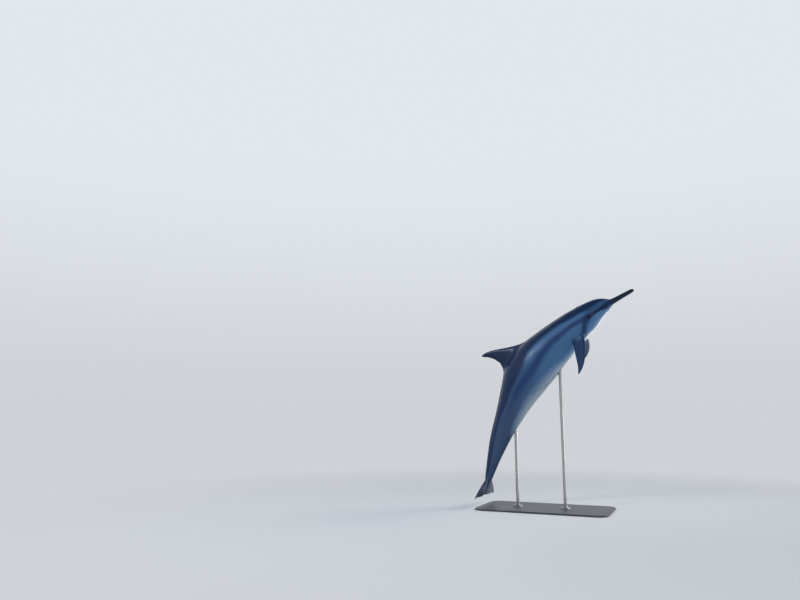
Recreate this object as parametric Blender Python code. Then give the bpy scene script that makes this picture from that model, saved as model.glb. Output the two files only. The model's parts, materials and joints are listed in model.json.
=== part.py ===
"""A leaping spinner dolphin, as a life-size museum model on a plain display stand.

Anyone can run it: blender --background --python part.py
It models in metres, with +X the way the head points, +Y the animal's left and +Z up. The origin
is the middle of the stand's underside. The body is modelled whole, as a tube of rings and rows
with its fins grown from it, and then parted with thin cuts into the pieces a person would name.
"""
import math
from dataclasses import dataclass

import bmesh
import bpy
from mathutils import Matrix, Vector

# ---------------------------------------------------------------- driving dimensions
LENGTH = 1.90               # beak tip to fluke notch, along the spine
BEAK_TIP = Vector((0.675, 0.0, 1.513))
ROWS = 20                   # points round each ring, row 0 on the back and row 10 on the belly
HALF = ROWS // 2
GAP = 0.0003                # space between two pieces that meet
FACETS = 4400               # triangles asked for in the whole body

# ---------------------------------------------------------------- the spine's bend
BEAK_PITCH = 26.8           # degrees above level, at the beak
BENDS = (                   # (first place, last place, degrees steeper), from the beak to the tail
    (0.08, 0.25, 10.3),     # neck
    (0.30, 0.65, 26.3),     # back
    (0.60, 0.90, 11.6),     # tail stock
)
SPINE_STEPS = 400


@dataclass(frozen=True)
class Station:
    """The body's section at one place: half sizes in metres, from the spine outwards."""

    place: float            # share of the length, from the beak tip
    above: float
    below: float
    side: float
    keel: float             # 1 is an oval, more pinches the back and the belly to a ridge


STATIONS = (
    Station(0.000, 0.0085, 0.0085, 0.0100, 0.80),
    Station(0.006, 0.0135, 0.0120, 0.0140, 0.80),
    Station(0.025, 0.0160, 0.0140, 0.0170, 0.80),
    Station(0.085, 0.0205, 0.0190, 0.0280, 0.88),
    Station(0.094, 0.0280, 0.0230, 0.0330, 0.90),
    Station(0.110, 0.0540, 0.0380, 0.0460, 0.93),
    Station(0.130, 0.0750, 0.0560, 0.0590, 0.95),
    Station(0.160, 0.0910, 0.0800, 0.0725, 0.95),
    Station(0.198, 0.1040, 0.1030, 0.0860, 0.97),
    Station(0.256, 0.1240, 0.1200, 0.1060, 1.00),
    Station(0.343, 0.1430, 0.1470, 0.1300, 1.00),
    Station(0.450, 0.1660, 0.1770, 0.1430, 1.00),
    Station(0.520, 0.1640, 0.1730, 0.1370, 1.03),
    Station(0.600, 0.1220, 0.1450, 0.1070, 1.10),
    Station(0.700, 0.0790, 0.1110, 0.0690, 1.22),
    Station(0.800, 0.0620, 0.0760, 0.0440, 1.30),
    Station(0.870, 0.0430, 0.0490, 0.0310, 1.30),
    Station(0.915, 0.0360, 0.0370, 0.0235, 1.20),
    Station(0.940, 0.0250, 0.0250, 0.0240, 1.05),
    Station(0.965, 0.0150, 0.0150, 0.0260, 1.00),
    Station(1.000, 0.0070, 0.0070, 0.0220, 1.00),
)


@dataclass(frozen=True)
class Lay:
    """Where the rows lie round the body at one place, in degrees from the back."""

    place: float
    angles: tuple


LAYS = (
    Lay(0.000, (0, 16, 34, 52, 68, 80, 89, 101, 118, 146, 180)),
    Lay(0.085, (0, 16, 34, 52, 68, 84, 96, 103, 120, 148, 180)),
    Lay(0.154, (0, 11, 30, 51, 72, 91, 100, 103, 120, 148, 180)),
    Lay(0.187, (0, 10, 29, 50, 77, 101, 118, 128, 141, 159, 180)),
    Lay(0.243, (0, 10, 28, 50, 76, 103, 131, 140, 149, 163, 180)),
    Lay(0.300, (0, 10, 28, 50, 76, 103, 131, 140, 149, 163, 180)),
    Lay(0.425, (0, 10, 28, 48, 70, 92, 112, 128, 144, 162, 180)),
    Lay(0.600, (0, 10, 28, 48, 70, 92, 112, 128, 144, 162, 180)),
    Lay(0.930, (0, 16, 36, 56, 74, 90, 106, 124, 144, 164, 180)),
    Lay(1.000, (0, 16, 36, 56, 74, 90, 106, 124, 144, 164, 180)),
)


@dataclass(frozen=True)
class Span:
    """A stretch of the body and how many rings divide it."""

    end: float
    rings: int


START = 0.0015
SPANS = (
    Span(0.020, 2),          # beak tip
    Span(0.086, 3),          # beak
    Span(0.112, 3),          # crease between beak and melon
    Span(0.154, 3),          # melon and mouth
    Span(0.174, 1),          # cheek
    Span(0.213, 3),          # eyes and blowhole
    Span(0.243, 2),          # neck
    Span(0.292, 4),          # flipper roots
    Span(0.425, 4),          # chest
    Span(0.548, 6),          # dorsal fin's base
    Span(0.930, 9),          # tail stock
    Span(1.000, 6),          # fluke roots
)
EYE_PLACE = 0.187
FLIPPER_SPAN = (0.243, 0.292)
DORSAL_SPAN = (0.425, 0.548)
FLUKE_SPAN = (0.930, 1.000)


def smoothstep(share: float) -> float:
    """Ease from 0 to 1."""
    share = min(1.0, max(0.0, share))
    return share * share * (3.0 - 2.0 * share)


def monotone(xs: list, ys: list, x: float) -> float:
    """Read a smooth curve through the points (xs, ys) that never overshoots them."""
    if x <= xs[0]:
        return ys[0]
    if x >= xs[-1]:
        return ys[-1]
    widths = [b - a for a, b in zip(xs, xs[1:])]
    rises = [(b - a) / w for a, b, w in zip(ys, ys[1:], widths)]

    def slope(i: int) -> float:
        if i in (0, len(xs) - 1):
            return rises[min(i, len(rises) - 1)]
        if rises[i - 1] * rises[i] <= 0.0:
            return 0.0
        before = 2.0 * widths[i] + widths[i - 1]
        after = widths[i] + 2.0 * widths[i - 1]
        return (before + after) / (before / rises[i - 1] + after / rises[i])

    k = max(i for i in range(len(widths)) if xs[i] <= x)
    t = (x - xs[k]) / widths[k]
    rise = ys[k + 1] - ys[k]
    bulge = t * (1.0 - t) ** 2 * slope(k) - t * t * (1.0 - t) * slope(k + 1)
    return ys[k] + rise * t * t * (3.0 - 2.0 * t) + widths[k] * bulge


class Spine:
    """The body's curved middle line, in the plane of symmetry."""

    def __init__(self) -> None:
        self.points = [BEAK_TIP]
        for i in range(SPINE_STEPS + SPINE_STEPS // 10):
            back = self.forward((i + 0.5) / SPINE_STEPS) * (LENGTH / SPINE_STEPS)
            self.points.append(self.points[-1] - back)

    def pitch(self, place: float) -> float:
        bent = sum(turn * smoothstep((place - start) / (end - start)) for start, end, turn in BENDS)
        return math.radians(BEAK_PITCH + bent)

    def forward(self, place: float) -> Vector:
        pitch = self.pitch(place)
        return Vector((math.cos(pitch), 0.0, math.sin(pitch)))

    def dorsal(self, place: float) -> Vector:
        pitch = self.pitch(place)
        return Vector((-math.sin(pitch), 0.0, math.cos(pitch)))

    def point(self, place: float, side: float = 0.0, up: float = 0.0) -> Vector:
        """A point beside the spine, by its place and its offsets to the left and the back."""
        step = max(0.0, place * SPINE_STEPS)
        i = min(int(step), len(self.points) - 2)
        middle = self.points[i].lerp(self.points[i + 1], step - i)
        return middle + Vector((0.0, side, 0.0)) + self.dorsal(place) * up


SPINE = Spine()


def section(place: float, angle: float, inset: float = 0.0) -> tuple:
    """The offsets to the left and up of a skin point, at an angle in degrees from the back."""
    places = [s.place for s in STATIONS]
    above, below, side, keel = (
        monotone(places, [getattr(s, size) for s in STATIONS], place)
        for size in ("above", "below", "side", "keel"))
    turn = math.radians(angle)
    sine = abs(math.sin(turn))
    width = math.copysign((side - inset) * sine ** keel, math.sin(turn)) if sine > 1e-6 else 0.0
    return width, ((above if math.cos(turn) > 0.0 else below) - inset) * math.cos(turn)


def row_angle(place: float, row: int) -> float:
    """The angle of a row at a place, with the right side's rows past 180 degrees."""
    k = row if row <= HALF else ROWS - row
    before = max((lay for lay in LAYS if lay.place <= place), key=lambda lay: lay.place)
    after = min((lay for lay in LAYS if lay.place >= place), key=lambda lay: lay.place)
    width = max(1e-6, after.place - before.place)
    share = smoothstep((place - before.place) / width)
    angle = before.angles[k] + (after.angles[k] - before.angles[k]) * share
    return angle if row <= HALF else 360.0 - angle


def skin_point(place: float, angle: float, inset: float = 0.0) -> Vector:
    """A point of the skin, or the given distance under it."""
    return SPINE.point(place, *section(place, angle, inset))


def ring_places() -> list:
    """Where the rings of the body's tube are, from the beak tip to the notch."""
    places = [START]
    for span in SPANS:
        first = places[-1]
        places += [first + (span.end - first) * (i + 1) / span.rings for i in range(span.rings)]
    return places


PLACES = ring_places()


def ring_at(place: float) -> int:
    """The number of the ring nearest a place."""
    return min(range(len(PLACES)), key=lambda i: abs(PLACES[i] - place))


@dataclass(frozen=True)
class Rib:
    """One section of a fin: how far out, where its two edges are, and how thick it is."""

    out: float
    lead: float
    trail: float
    thick: float


@dataclass(frozen=True)
class Blade:
    """A fin that grows from a patch of the body's faces, two rows wide."""

    name: str
    rings: tuple            # first and last ring of the patch
    row: int                # the patch's middle row
    root: Vector            # where the leading edge meets the body
    chord: Vector           # from the leading to the trailing edge
    span: Vector            # from the body to the tip
    ribs: tuple

    def place(self, rib: Rib, ring: int, row_step: int) -> Vector:
        """Where a patch point goes on a rib: an aerofoil with a round nose and a fine tail."""
        share = (ring - self.rings[0]) / (self.rings[1] - self.rings[0])
        if row_step:
            share = 0.03 + 0.93 * (0.35 * share + 0.65 * share * share * (3.0 - 2.0 * share))
        half = rib.thick * (1.4845 * math.sqrt(share) - 0.63 * share - 1.758 * share ** 2
                            + 1.4215 * share ** 3 - 0.5075 * share ** 4)
        chord = self.chord.normalized()
        normal = chord.cross(self.span).normalized()
        along = rib.lead + (rib.trail - rib.lead) * share
        return self.root + chord * along + self.span.normalized() * rib.out + normal * half * row_step


DORSAL_RIBS = (
    Rib(0.034, 0.046, 0.250, 0.034),
    Rib(0.070, 0.088, 0.236, 0.028),
    Rib(0.110, 0.129, 0.234, 0.022),
    Rib(0.150, 0.167, 0.245, 0.017),
    Rib(0.186, 0.207, 0.262, 0.012),
    Rib(0.207, 0.235, 0.273, 0.008),
)
FLIPPER_RIBS = (
    Rib(0.022, -0.004, 0.088, 0.028),
    Rib(0.080, -0.008, 0.082, 0.023),
    Rib(0.140, -0.006, 0.074, 0.018),
    Rib(0.195, 0.000, 0.064, 0.014),
    Rib(0.240, 0.014, 0.057, 0.010),
    Rib(0.275, 0.032, 0.055, 0.008),
    Rib(0.296, 0.044, 0.057, 0.006),
)
FLUKE_RIBS = (
    Rib(0.020, 0.006, 0.140, 0.026),
    Rib(0.060, 0.026, 0.146, 0.019),
    Rib(0.105, 0.054, 0.140, 0.015),
    Rib(0.150, 0.086, 0.136, 0.011),
    Rib(0.185, 0.114, 0.140, 0.008),
    Rib(0.202, 0.132, 0.144, 0.006),
)
FLIPPER_WAYS = {            # forward, outward and up, seen from the body
    "left": Vector((-0.240, 0.940, -0.240)),        # spread like a wing
    "right": Vector((-0.500, 0.380, -0.780)),       # hanging down and back
}
FLIPPER_ROW = 7
FLUKE_ROW = 5
SIDES = ((1, "left"), (-1, "right"))


def mirrored(row: int) -> int:
    """The same row on the other side."""
    return (ROWS - row) % ROWS


def blades() -> list:
    """The five fins: one dorsal, two flippers and two flukes."""
    made = []
    base = [skin_point(place, 0.0) for place in DORSAL_SPAN]
    back = (base[1] - base[0]).normalized()
    out = back.cross(Vector((0.0, -1.0, 0.0)))
    made.append(Blade("dorsal_fin", tuple(ring_at(p) for p in DORSAL_SPAN), 0, base[0],
                      back, out, DORSAL_RIBS))
    for side, name in SIDES:
        place = FLIPPER_SPAN[0]
        row = FLIPPER_ROW if side > 0 else mirrored(FLIPPER_ROW)
        way = FLIPPER_WAYS[name]
        span = (SPINE.forward(place) * way.x + Vector((0.0, side * way.y, 0.0))
                + SPINE.dorsal(place) * way.z).normalized()
        chord = -SPINE.forward(place) + span * SPINE.forward(place).dot(span)
        root = skin_point(place, row_angle(place, row))
        made.append(Blade("flipper_" + name, tuple(ring_at(p) for p in FLIPPER_SPAN), row, root,
                          chord, span, FLIPPER_RIBS))
        place = FLUKE_SPAN[0]
        row = FLUKE_ROW if side > 0 else mirrored(FLUKE_ROW)
        chord = -SPINE.forward(1.0)
        root = skin_point(place, row_angle(place, row))
        made.append(Blade("fluke_" + name, tuple(ring_at(p) for p in FLUKE_SPAN), row, root,
                          chord, Vector((0.0, float(side), 0.0)), FLUKE_RIBS))
    return made


class Cage:
    """The whole body as a coarse closed mesh, which a subdivision rounds."""

    def __init__(self) -> None:
        self.bm = bmesh.new()
        self.ring = self.bm.verts.layers.int.new("ring")
        self.row = self.bm.verts.layers.int.new("row")
        self.tube()
        for blade in blades():
            self.grow(blade)
        bmesh.ops.recalc_face_normals(self.bm, faces=self.bm.faces[:])

    def tube(self) -> None:
        """Run a ring of points down the spine, and close both its ends with quads."""
        circle = bmesh.ops.create_circle(self.bm, cap_ends=True, segments=ROWS, radius=1.0)
        for row, vert in enumerate(circle["verts"]):
            vert[self.row] = row
            vert.co = skin_point(PLACES[0], row_angle(PLACES[0], row))
        first = circle["verts"]
        edges = self.bm.edges[:]
        for ring in range(1, len(PLACES)):
            new = bmesh.ops.extrude_edge_only(self.bm, edges=edges)["geom"]
            edges = [item for item in new if isinstance(item, bmesh.types.BMEdge)]
            last = [item for item in new if isinstance(item, bmesh.types.BMVert)]
            for vert in last:
                vert[self.ring] = ring
                place = PLACES[ring]
                vert.co = skin_point(place, row_angle(place, vert[self.row]))
        bmesh.ops.contextual_create(self.bm, geom=edges)
        for ends in (first, last):
            by_row = {vert[self.row]: vert for vert in ends}
            for row in range(1, HALF):
                bmesh.ops.connect_verts(self.bm, verts=[by_row[row], by_row[mirrored(row)]])

    def grow(self, blade: Blade) -> None:
        """Extrude a fin from its patch, one rib after another."""
        first, last = blade.rings
        steps = {blade.row % ROWS: 0, (blade.row + 1) % ROWS: 1, (blade.row - 1) % ROWS: -1}
        faces = [face for face in self.bm.faces if all(
            first <= vert[self.ring] <= last and vert[self.row] in steps for vert in face.verts)]
        for rib in blade.ribs:
            new = bmesh.ops.extrude_face_region(self.bm, geom=faces)["geom"]
            bmesh.ops.delete(self.bm, geom=faces, context="FACES")
            faces = [item for item in new if isinstance(item, bmesh.types.BMFace)]
            for vert in {vert for face in faces for vert in face.verts}:
                vert.co = blade.place(rib, vert[self.ring], steps[vert[self.row]])


# ---------------------------------------------------------------- parting the body
BEAK_END = 0.098            # places along the spine where one piece ends and the next begins
HEAD_END = 0.231
CHEST_END = 0.365
TRUNK_END = 0.620
STOCK_MIDDLE = 0.780
STOCK_END = 0.922
JAW_END = 0.154             # the corner of the mouth
MOUTH = ((-0.020, -0.0010), (0.002, -0.0015), (0.050, -0.0025), (0.098, -0.0040),
         (0.128, -0.0080), (JAW_END, -0.0130))      # (place, height above the spine)
DORSAL_CUT = 0.032          # height of each fin's cut over the line or plane of its root
FLIPPER_CUT = 0.009
EYE_ANGLE = 101.0           # degrees from the back
EYE_HALF = Vector((0.0160, 0.0095, 0.0105))         # along the head, deep, and up
EYE_SINK = 0.0078           # how far the eye's middle lies under the skin
ROUNDING = 2                # subdivisions before the facets are thinned out

# ---------------------------------------------------------------- the stand
BASE_SIZE = (0.900, 0.520, 0.012)
BASE_CORNER = 0.070
BASE_EDGE = 0.0025
ROD_RADIUS = 0.011
ROD_FOOT = 0.004            # the rods stand in blind holes, this far above the floor
ROD_SIDES = 24
SOCKET_DEPTH = 0.060        # how far a rod goes into the body
FRONT_ROD = 0.140           # where the rods stand along X
REAR_ROD = -0.195
FLANGE_RADIUS = 0.036
FLANGE_PLATE = 0.006        # thickness of the collar's rim
FLANGE_HEIGHT = 0.016
FLANGE_WALL = 0.007         # thickness of the collar's neck
FLANGE_FILLET = 0.004       # slope between its rim and its neck
FLANGE_EDGE = 0.002


@dataclass(frozen=True)
class Finish:
    """A plain colour and surface."""

    name: str
    colour: tuple
    roughness: float
    metallic: float = 0.0


DARK_SKIN = Finish("dark_skin", (0.028, 0.045, 0.075), 0.35)
GREY_SKIN = Finish("grey_skin", (0.085, 0.125, 0.190), 0.35)
EYE_FINISH = Finish("eye", (0.012, 0.010, 0.010), 0.08)
PAINT = Finish("stand_paint", (0.050, 0.054, 0.060), 0.45)
STEEL = Finish("stand_steel", (0.600, 0.600, 0.590), 0.30, 1.0)


def material(finish: Finish) -> bpy.types.Material:
    """The finish as a material, made once."""
    found = bpy.data.materials.get(finish.name)
    if found:
        return found
    made = bpy.data.materials.new(finish.name)
    made.use_nodes = True
    shader = made.node_tree.nodes["Principled BSDF"]
    shader.inputs["Base Color"].default_value = (*finish.colour, 1.0)
    shader.inputs["Roughness"].default_value = finish.roughness
    shader.inputs["Metallic"].default_value = finish.metallic
    return made


def add_object(name: str, bm: bmesh.types.BMesh, finish: Finish = None) -> bpy.types.Object:
    """Turn a finished bmesh into an object of the scene. Without a finish it is a cutter."""
    bmesh.ops.recalc_face_normals(bm, faces=bm.faces[:])
    mesh = bpy.data.meshes.new(name)
    bm.to_mesh(mesh)
    bm.free()
    made = bpy.data.objects.new(name, mesh)
    bpy.context.collection.objects.link(made)
    if finish:
        mesh.materials.append(material(finish))
        mesh.shade_smooth()
        mesh.set_sharp_from_angle(angle=math.radians(40.0))
    else:
        made.hide_render = True
        made.display_type = "WIRE"
    return made


def subtract(piece: bpy.types.Object, cutter: bpy.types.Object, operation="DIFFERENCE") -> None:
    """Cut one object with another."""
    cut = piece.modifiers.new(cutter.name, "BOOLEAN")
    cut.object = cutter
    cut.operation = operation
    cut.solver = "EXACT"


def across(place: float, way: int) -> tuple:
    """A cut square to the spine: way 1 keeps what is behind it, -1 what is ahead."""
    forward = SPINE.forward(place) * way
    return SPINE.point(place) + forward * -GAP / 2.0, forward


def flipped(cut: tuple) -> tuple:
    """The same cut, keeping the other side, with the gap between the two."""
    point, normal = cut
    return point + normal * GAP, -normal


def dorsal_cut() -> tuple:
    """The cut under the dorsal fin. It keeps the body."""
    front, back = (skin_point(place, 0.0) for place in DORSAL_SPAN)
    out = (back - front).cross(Vector((0.0, -1.0, 0.0))).normalized()
    return front + out * DORSAL_CUT, out


def flipper_cut(side: int) -> tuple:
    """The cut at a flipper's root, along the skin there. It keeps the body."""
    place = sum(FLIPPER_SPAN) / 2.0
    angle = row_angle(place, FLIPPER_ROW) * side
    step = 0.01
    along = skin_point(place + step, angle) - skin_point(place - step, angle)
    round_it = skin_point(place, angle + 3.0) - skin_point(place, angle - 3.0)
    out = along.cross(round_it).normalized()
    if out.y * side < 0.0:
        out = -out
    return skin_point(place, angle) + out * FLIPPER_CUT, out


class Flesh:
    """The whole rounded body, from which the pieces are cut."""

    def __init__(self) -> None:
        cage = Cage()
        mesh = bpy.data.meshes.new("whole")
        cage.bm.to_mesh(mesh)
        cage.bm.free()
        whole = bpy.data.objects.new("whole", mesh)
        bpy.context.collection.objects.link(whole)
        rounding = whole.modifiers.new("rounding", "SUBSURF")
        rounding.levels = rounding.render_levels = ROUNDING
        faces = len(mesh.polygons) * 4 ** ROUNDING
        thinning = whole.modifiers.new("thinning", "DECIMATE")
        thinning.ratio = FACETS / (2.0 * faces)
        thinning.use_symmetry = True
        thinning.symmetry_axis = "Y"
        graph = bpy.context.evaluated_depsgraph_get()
        self.mesh = bpy.data.meshes.new_from_object(whole.evaluated_get(graph))
        bpy.data.objects.remove(whole, do_unlink=True)

    def piece(self, name: str, cuts: list, near: Vector, finish: Finish) -> bpy.types.Object:
        """Keep the part behind every cut that lies nearest a point, and close it."""
        bm = bmesh.new()
        bm.from_mesh(self.mesh)
        for point, normal in cuts:
            bmesh.ops.bisect_plane(bm, geom=bm.verts[:] + bm.edges[:] + bm.faces[:], dist=1e-6,
                                   plane_co=point, plane_no=normal, clear_outer=True)
            rim = [edge for edge in bm.edges if edge.is_boundary]
            bmesh.ops.holes_fill(bm, edges=rim, sides=0)
        keep = {min(bm.verts, key=lambda vert: (vert.co - near).length)}
        edge_of = set(keep)
        while edge_of:
            edge_of = {other for vert in edge_of for edge in vert.link_edges
                       for other in edge.verts} - keep
            keep |= edge_of
        bmesh.ops.delete(bm, geom=[vert for vert in bm.verts if vert not in keep], context="VERTS")
        return add_object(name, bm, finish)


def ball(middle: Vector, half: Vector, tilt: float, grow: float = 0.0) -> bmesh.types.BMesh:
    """An ellipsoid, tilted with the head."""
    bm = bmesh.new()
    size = Matrix.Diagonal((*(half + Vector((grow, grow, grow))), 1.0))
    turn = Matrix.Rotation(-tilt, 4, "Y")
    bmesh.ops.create_uvsphere(bm, u_segments=16, v_segments=8, radius=1.0,
                              matrix=Matrix.Translation(middle) @ turn @ size)
    return bm


def mouth_prism(gap: float) -> bmesh.types.BMesh:
    """The space of the lower jaw: the mouth's curve pushed across the head, down to below it."""
    reach = 0.2
    bm = bmesh.new()
    curve = [SPINE.point(place, -reach, height - gap) for place, height in MOUTH]
    end = JAW_END - gap / LENGTH
    curve[-1] = SPINE.point(end, -reach, MOUTH[-1][1] - gap)
    outline = curve + [SPINE.point(end, -reach, -reach), SPINE.point(MOUTH[0][0], -reach, -reach)]
    face = bm.faces.new([bm.verts.new(point) for point in outline])
    new = bmesh.ops.extrude_face_region(bm, geom=[face])["geom"]
    verts = [item for item in new if isinstance(item, bmesh.types.BMVert)]
    bmesh.ops.translate(bm, verts=verts, vec=(0.0, 2.0 * reach, 0.0))
    return bm


def build_flesh() -> dict:
    """Part the body into its named pieces."""
    flesh = Flesh()
    fin = dorsal_cut()
    flippers = {side: flipper_cut(side) for side in (1, -1)}
    pieces = {}

    def cut(name: str, cuts: list, place: float, finish: Finish, up: float = 0.0) -> None:
        pieces[name] = flesh.piece(name, cuts, SPINE.point(place, up=up), finish)

    cut("beak_upper", [across(BEAK_END, -1)], 0.0, DARK_SKIN, 0.01)
    cut("head", [across(BEAK_END, 1), across(HEAD_END, -1)], 0.16, GREY_SKIN, 0.08)
    cut("lower_jaw", [across(JAW_END + 0.01, -1)], 0.05, GREY_SKIN)
    cut("chest", [across(HEAD_END, 1), across(CHEST_END, -1), flippers[1], flippers[-1]], 0.30,
        GREY_SKIN, 0.1)
    cut("trunk", [across(CHEST_END, 1), across(TRUNK_END, -1), fin], 0.50, GREY_SKIN, -0.1)
    cut("tail_stock_front", [across(TRUNK_END, 1), across(STOCK_MIDDLE, -1)], 0.70, GREY_SKIN)
    cut("tail_stock_rear", [across(STOCK_MIDDLE, 1), across(STOCK_END, -1)], 0.85, GREY_SKIN)
    cut("dorsal_fin", [flipped(fin)], DORSAL_SPAN[1], DARK_SKIN, 0.3)
    for side, name in SIDES:
        tip = next(b for b in blades() if b.name == "flipper_" + name)
        near = tip.root + tip.span.normalized() * tip.ribs[-1].out
        pieces["flipper_" + name] = flesh.piece("flipper_" + name, [flipped(flippers[side])], near,
                                                DARK_SKIN)
        middle = (Vector((0.0, side * GAP / 2.0, 0.0)), Vector((0.0, -float(side), 0.0)))
        near = SPINE.point(0.98, side * 0.2)
        pieces["fluke_" + name] = flesh.piece("fluke_" + name, [across(STOCK_END, 1), middle],
                                              near, DARK_SKIN)
    return pieces


def build_mouth_and_eyes(pieces: dict) -> None:
    """Cut the mouth between the beak, the head and the jaw, and set the eyes in their sockets."""
    opening = add_object("cut_mouth", mouth_prism(0.0))
    subtract(pieces["beak_upper"], opening)
    subtract(pieces["head"], opening)
    subtract(pieces["lower_jaw"], add_object("cut_jaw", mouth_prism(GAP)), "INTERSECT")
    tilt = SPINE.pitch(EYE_PLACE)
    for side, name in SIDES:
        skin = skin_point(EYE_PLACE, side * EYE_ANGLE)
        middle = skin - Vector((0.0, side * EYE_SINK, 0.0))
        eye = add_object("eye_" + name, ball(middle, EYE_HALF, tilt), EYE_FINISH)
        socket = add_object("cut_eye_" + name, ball(middle, EYE_HALF, tilt, 2.0 * GAP))
        subtract(pieces["head"], socket)
        pieces[eye.name] = eye


def cylinder(radius: float, bottom: float, top: float, sides: int = ROD_SIDES) -> bmesh.types.BMesh:
    """An upright cylinder between two heights."""
    bm = bmesh.new()
    bmesh.ops.create_cone(bm, cap_ends=True, segments=sides, radius1=radius, radius2=radius,
                          depth=top - bottom, matrix=Matrix.Translation((0, 0, (top + bottom) / 2)))
    return bm


def base_plate() -> bpy.types.Object:
    """A flat plate with round corners and eased edges."""
    length, width, thick = BASE_SIZE
    bm = bmesh.new()
    size = Matrix.Diagonal((length, width, thick, 1.0))
    bmesh.ops.create_cube(bm, size=1.0, matrix=Matrix.Translation((0.0, 0.0, thick / 2.0)) @ size)
    upright = [edge for edge in bm.edges if abs(edge.verts[0].co.z - edge.verts[1].co.z) > 0.5 * thick]
    bmesh.ops.bevel(bm, geom=upright, offset=BASE_CORNER, segments=6, profile=0.5, affect="EDGES",
                    material=-1)
    level = [edge for edge in bm.edges if abs(edge.verts[0].co.z - edge.verts[1].co.z) < 1e-6]
    bmesh.ops.bevel(bm, geom=level, offset=BASE_EDGE, segments=2, profile=0.5, affect="EDGES",
                    material=-1)
    return add_object("stand_base", bm, PAINT)


def flange(name: str, along: float) -> bpy.types.Object:
    """The turned collar where a rod meets the plate, bored for the rod."""
    bore = ROD_RADIUS + GAP
    low = BASE_SIZE[2] + GAP
    rim = low + FLANGE_PLATE
    high = low + FLANGE_HEIGHT
    neck = ROD_RADIUS + FLANGE_WALL
    outline = ((bore, low), (FLANGE_RADIUS, low), (FLANGE_RADIUS, rim - FLANGE_EDGE),
               (FLANGE_RADIUS - FLANGE_EDGE, rim), (neck + FLANGE_FILLET, rim),
               (neck, rim + FLANGE_FILLET), (neck, high - FLANGE_EDGE),
               (neck - FLANGE_EDGE, high), (bore, high))
    bm = bmesh.new()
    verts = [bm.verts.new((radius, 0.0, height)) for radius, height in outline]
    edges = [bm.edges.new(pair) for pair in zip(verts, verts[1:] + verts[:1])]
    bmesh.ops.spin(bm, geom=verts + edges, cent=(0.0, 0.0, 0.0), axis=(0.0, 0.0, 1.0),
                   angle=math.tau, steps=ROD_SIDES, use_merge=True)
    bmesh.ops.remove_doubles(bm, verts=bm.verts[:], dist=1e-6)
    made = add_object(name, bm, STEEL)
    made.location.x = along
    return made


def belly_height(along: float) -> float:
    """The height of the belly's middle line over a place of the floor."""
    line = (skin_point(step / SPINE_STEPS, 180.0) for step in range(SPINE_STEPS))
    return min(line, key=lambda point: abs(point.x - along)).z


def build_stand(pieces: dict) -> None:
    """A plate with two rods, each in a blind hole of the plate and a blind socket of the body."""
    base = base_plate()
    for name, along, body in (("front", FRONT_ROD, "trunk"), ("rear", REAR_ROD, "tail_stock_front")):
        top = belly_height(along) + SOCKET_DEPTH
        rod = add_object("stand_rod_" + name, cylinder(ROD_RADIUS, ROD_FOOT, top), STEEL)
        hole = add_object("cut_rod_" + name, cylinder(ROD_RADIUS + GAP, ROD_FOOT - GAP, top + GAP))
        rod.location.x = hole.location.x = along
        subtract(base, hole)
        subtract(pieces[body], hole)
        flange("stand_flange_" + name, along)


def main() -> None:
    """Build the model."""
    for thing in list(bpy.data.objects):
        bpy.data.objects.remove(thing, do_unlink=True)
    pieces = build_flesh()
    build_mouth_and_eyes(pieces)
    build_stand(pieces)


main()
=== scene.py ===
"""The looks of a leaping spinner dolphin, a life-size museum model on a plain display stand.

One skin covers the whole body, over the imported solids, and the eyes are pieces of their own. The
stand keeps its solids and gets its finishes, its screws and the seals round its rods. All sizes
are metres, with +X the way the head points, +Y the animal's left and +Z up.
"""
import json
import logging
import math
from dataclasses import dataclass
from enum import Enum

import bmesh
import bpy
import numpy as np
from mathutils import Matrix, Vector
from mathutils.bvhtree import BVHTree

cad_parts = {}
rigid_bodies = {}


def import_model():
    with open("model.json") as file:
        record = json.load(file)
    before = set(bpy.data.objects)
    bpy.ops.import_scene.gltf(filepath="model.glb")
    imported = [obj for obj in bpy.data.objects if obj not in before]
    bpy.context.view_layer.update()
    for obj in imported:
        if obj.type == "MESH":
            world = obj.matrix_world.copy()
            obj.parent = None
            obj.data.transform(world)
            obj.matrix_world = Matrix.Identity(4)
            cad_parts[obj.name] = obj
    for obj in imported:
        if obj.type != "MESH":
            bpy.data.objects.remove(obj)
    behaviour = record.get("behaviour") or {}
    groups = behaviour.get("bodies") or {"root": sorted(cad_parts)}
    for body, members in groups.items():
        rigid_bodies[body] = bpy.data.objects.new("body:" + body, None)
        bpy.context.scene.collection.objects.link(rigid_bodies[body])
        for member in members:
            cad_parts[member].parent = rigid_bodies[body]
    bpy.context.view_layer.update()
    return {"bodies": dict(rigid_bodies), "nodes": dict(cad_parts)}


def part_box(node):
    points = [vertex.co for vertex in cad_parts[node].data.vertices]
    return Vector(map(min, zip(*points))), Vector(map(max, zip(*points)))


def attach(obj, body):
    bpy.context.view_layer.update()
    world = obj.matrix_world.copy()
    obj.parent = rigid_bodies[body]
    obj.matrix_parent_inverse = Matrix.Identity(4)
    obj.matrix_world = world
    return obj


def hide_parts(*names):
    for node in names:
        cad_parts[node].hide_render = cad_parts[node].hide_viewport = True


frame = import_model()
BODY = next(iter(frame["bodies"]))
LOG = logging.getLogger("dolphin")


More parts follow.
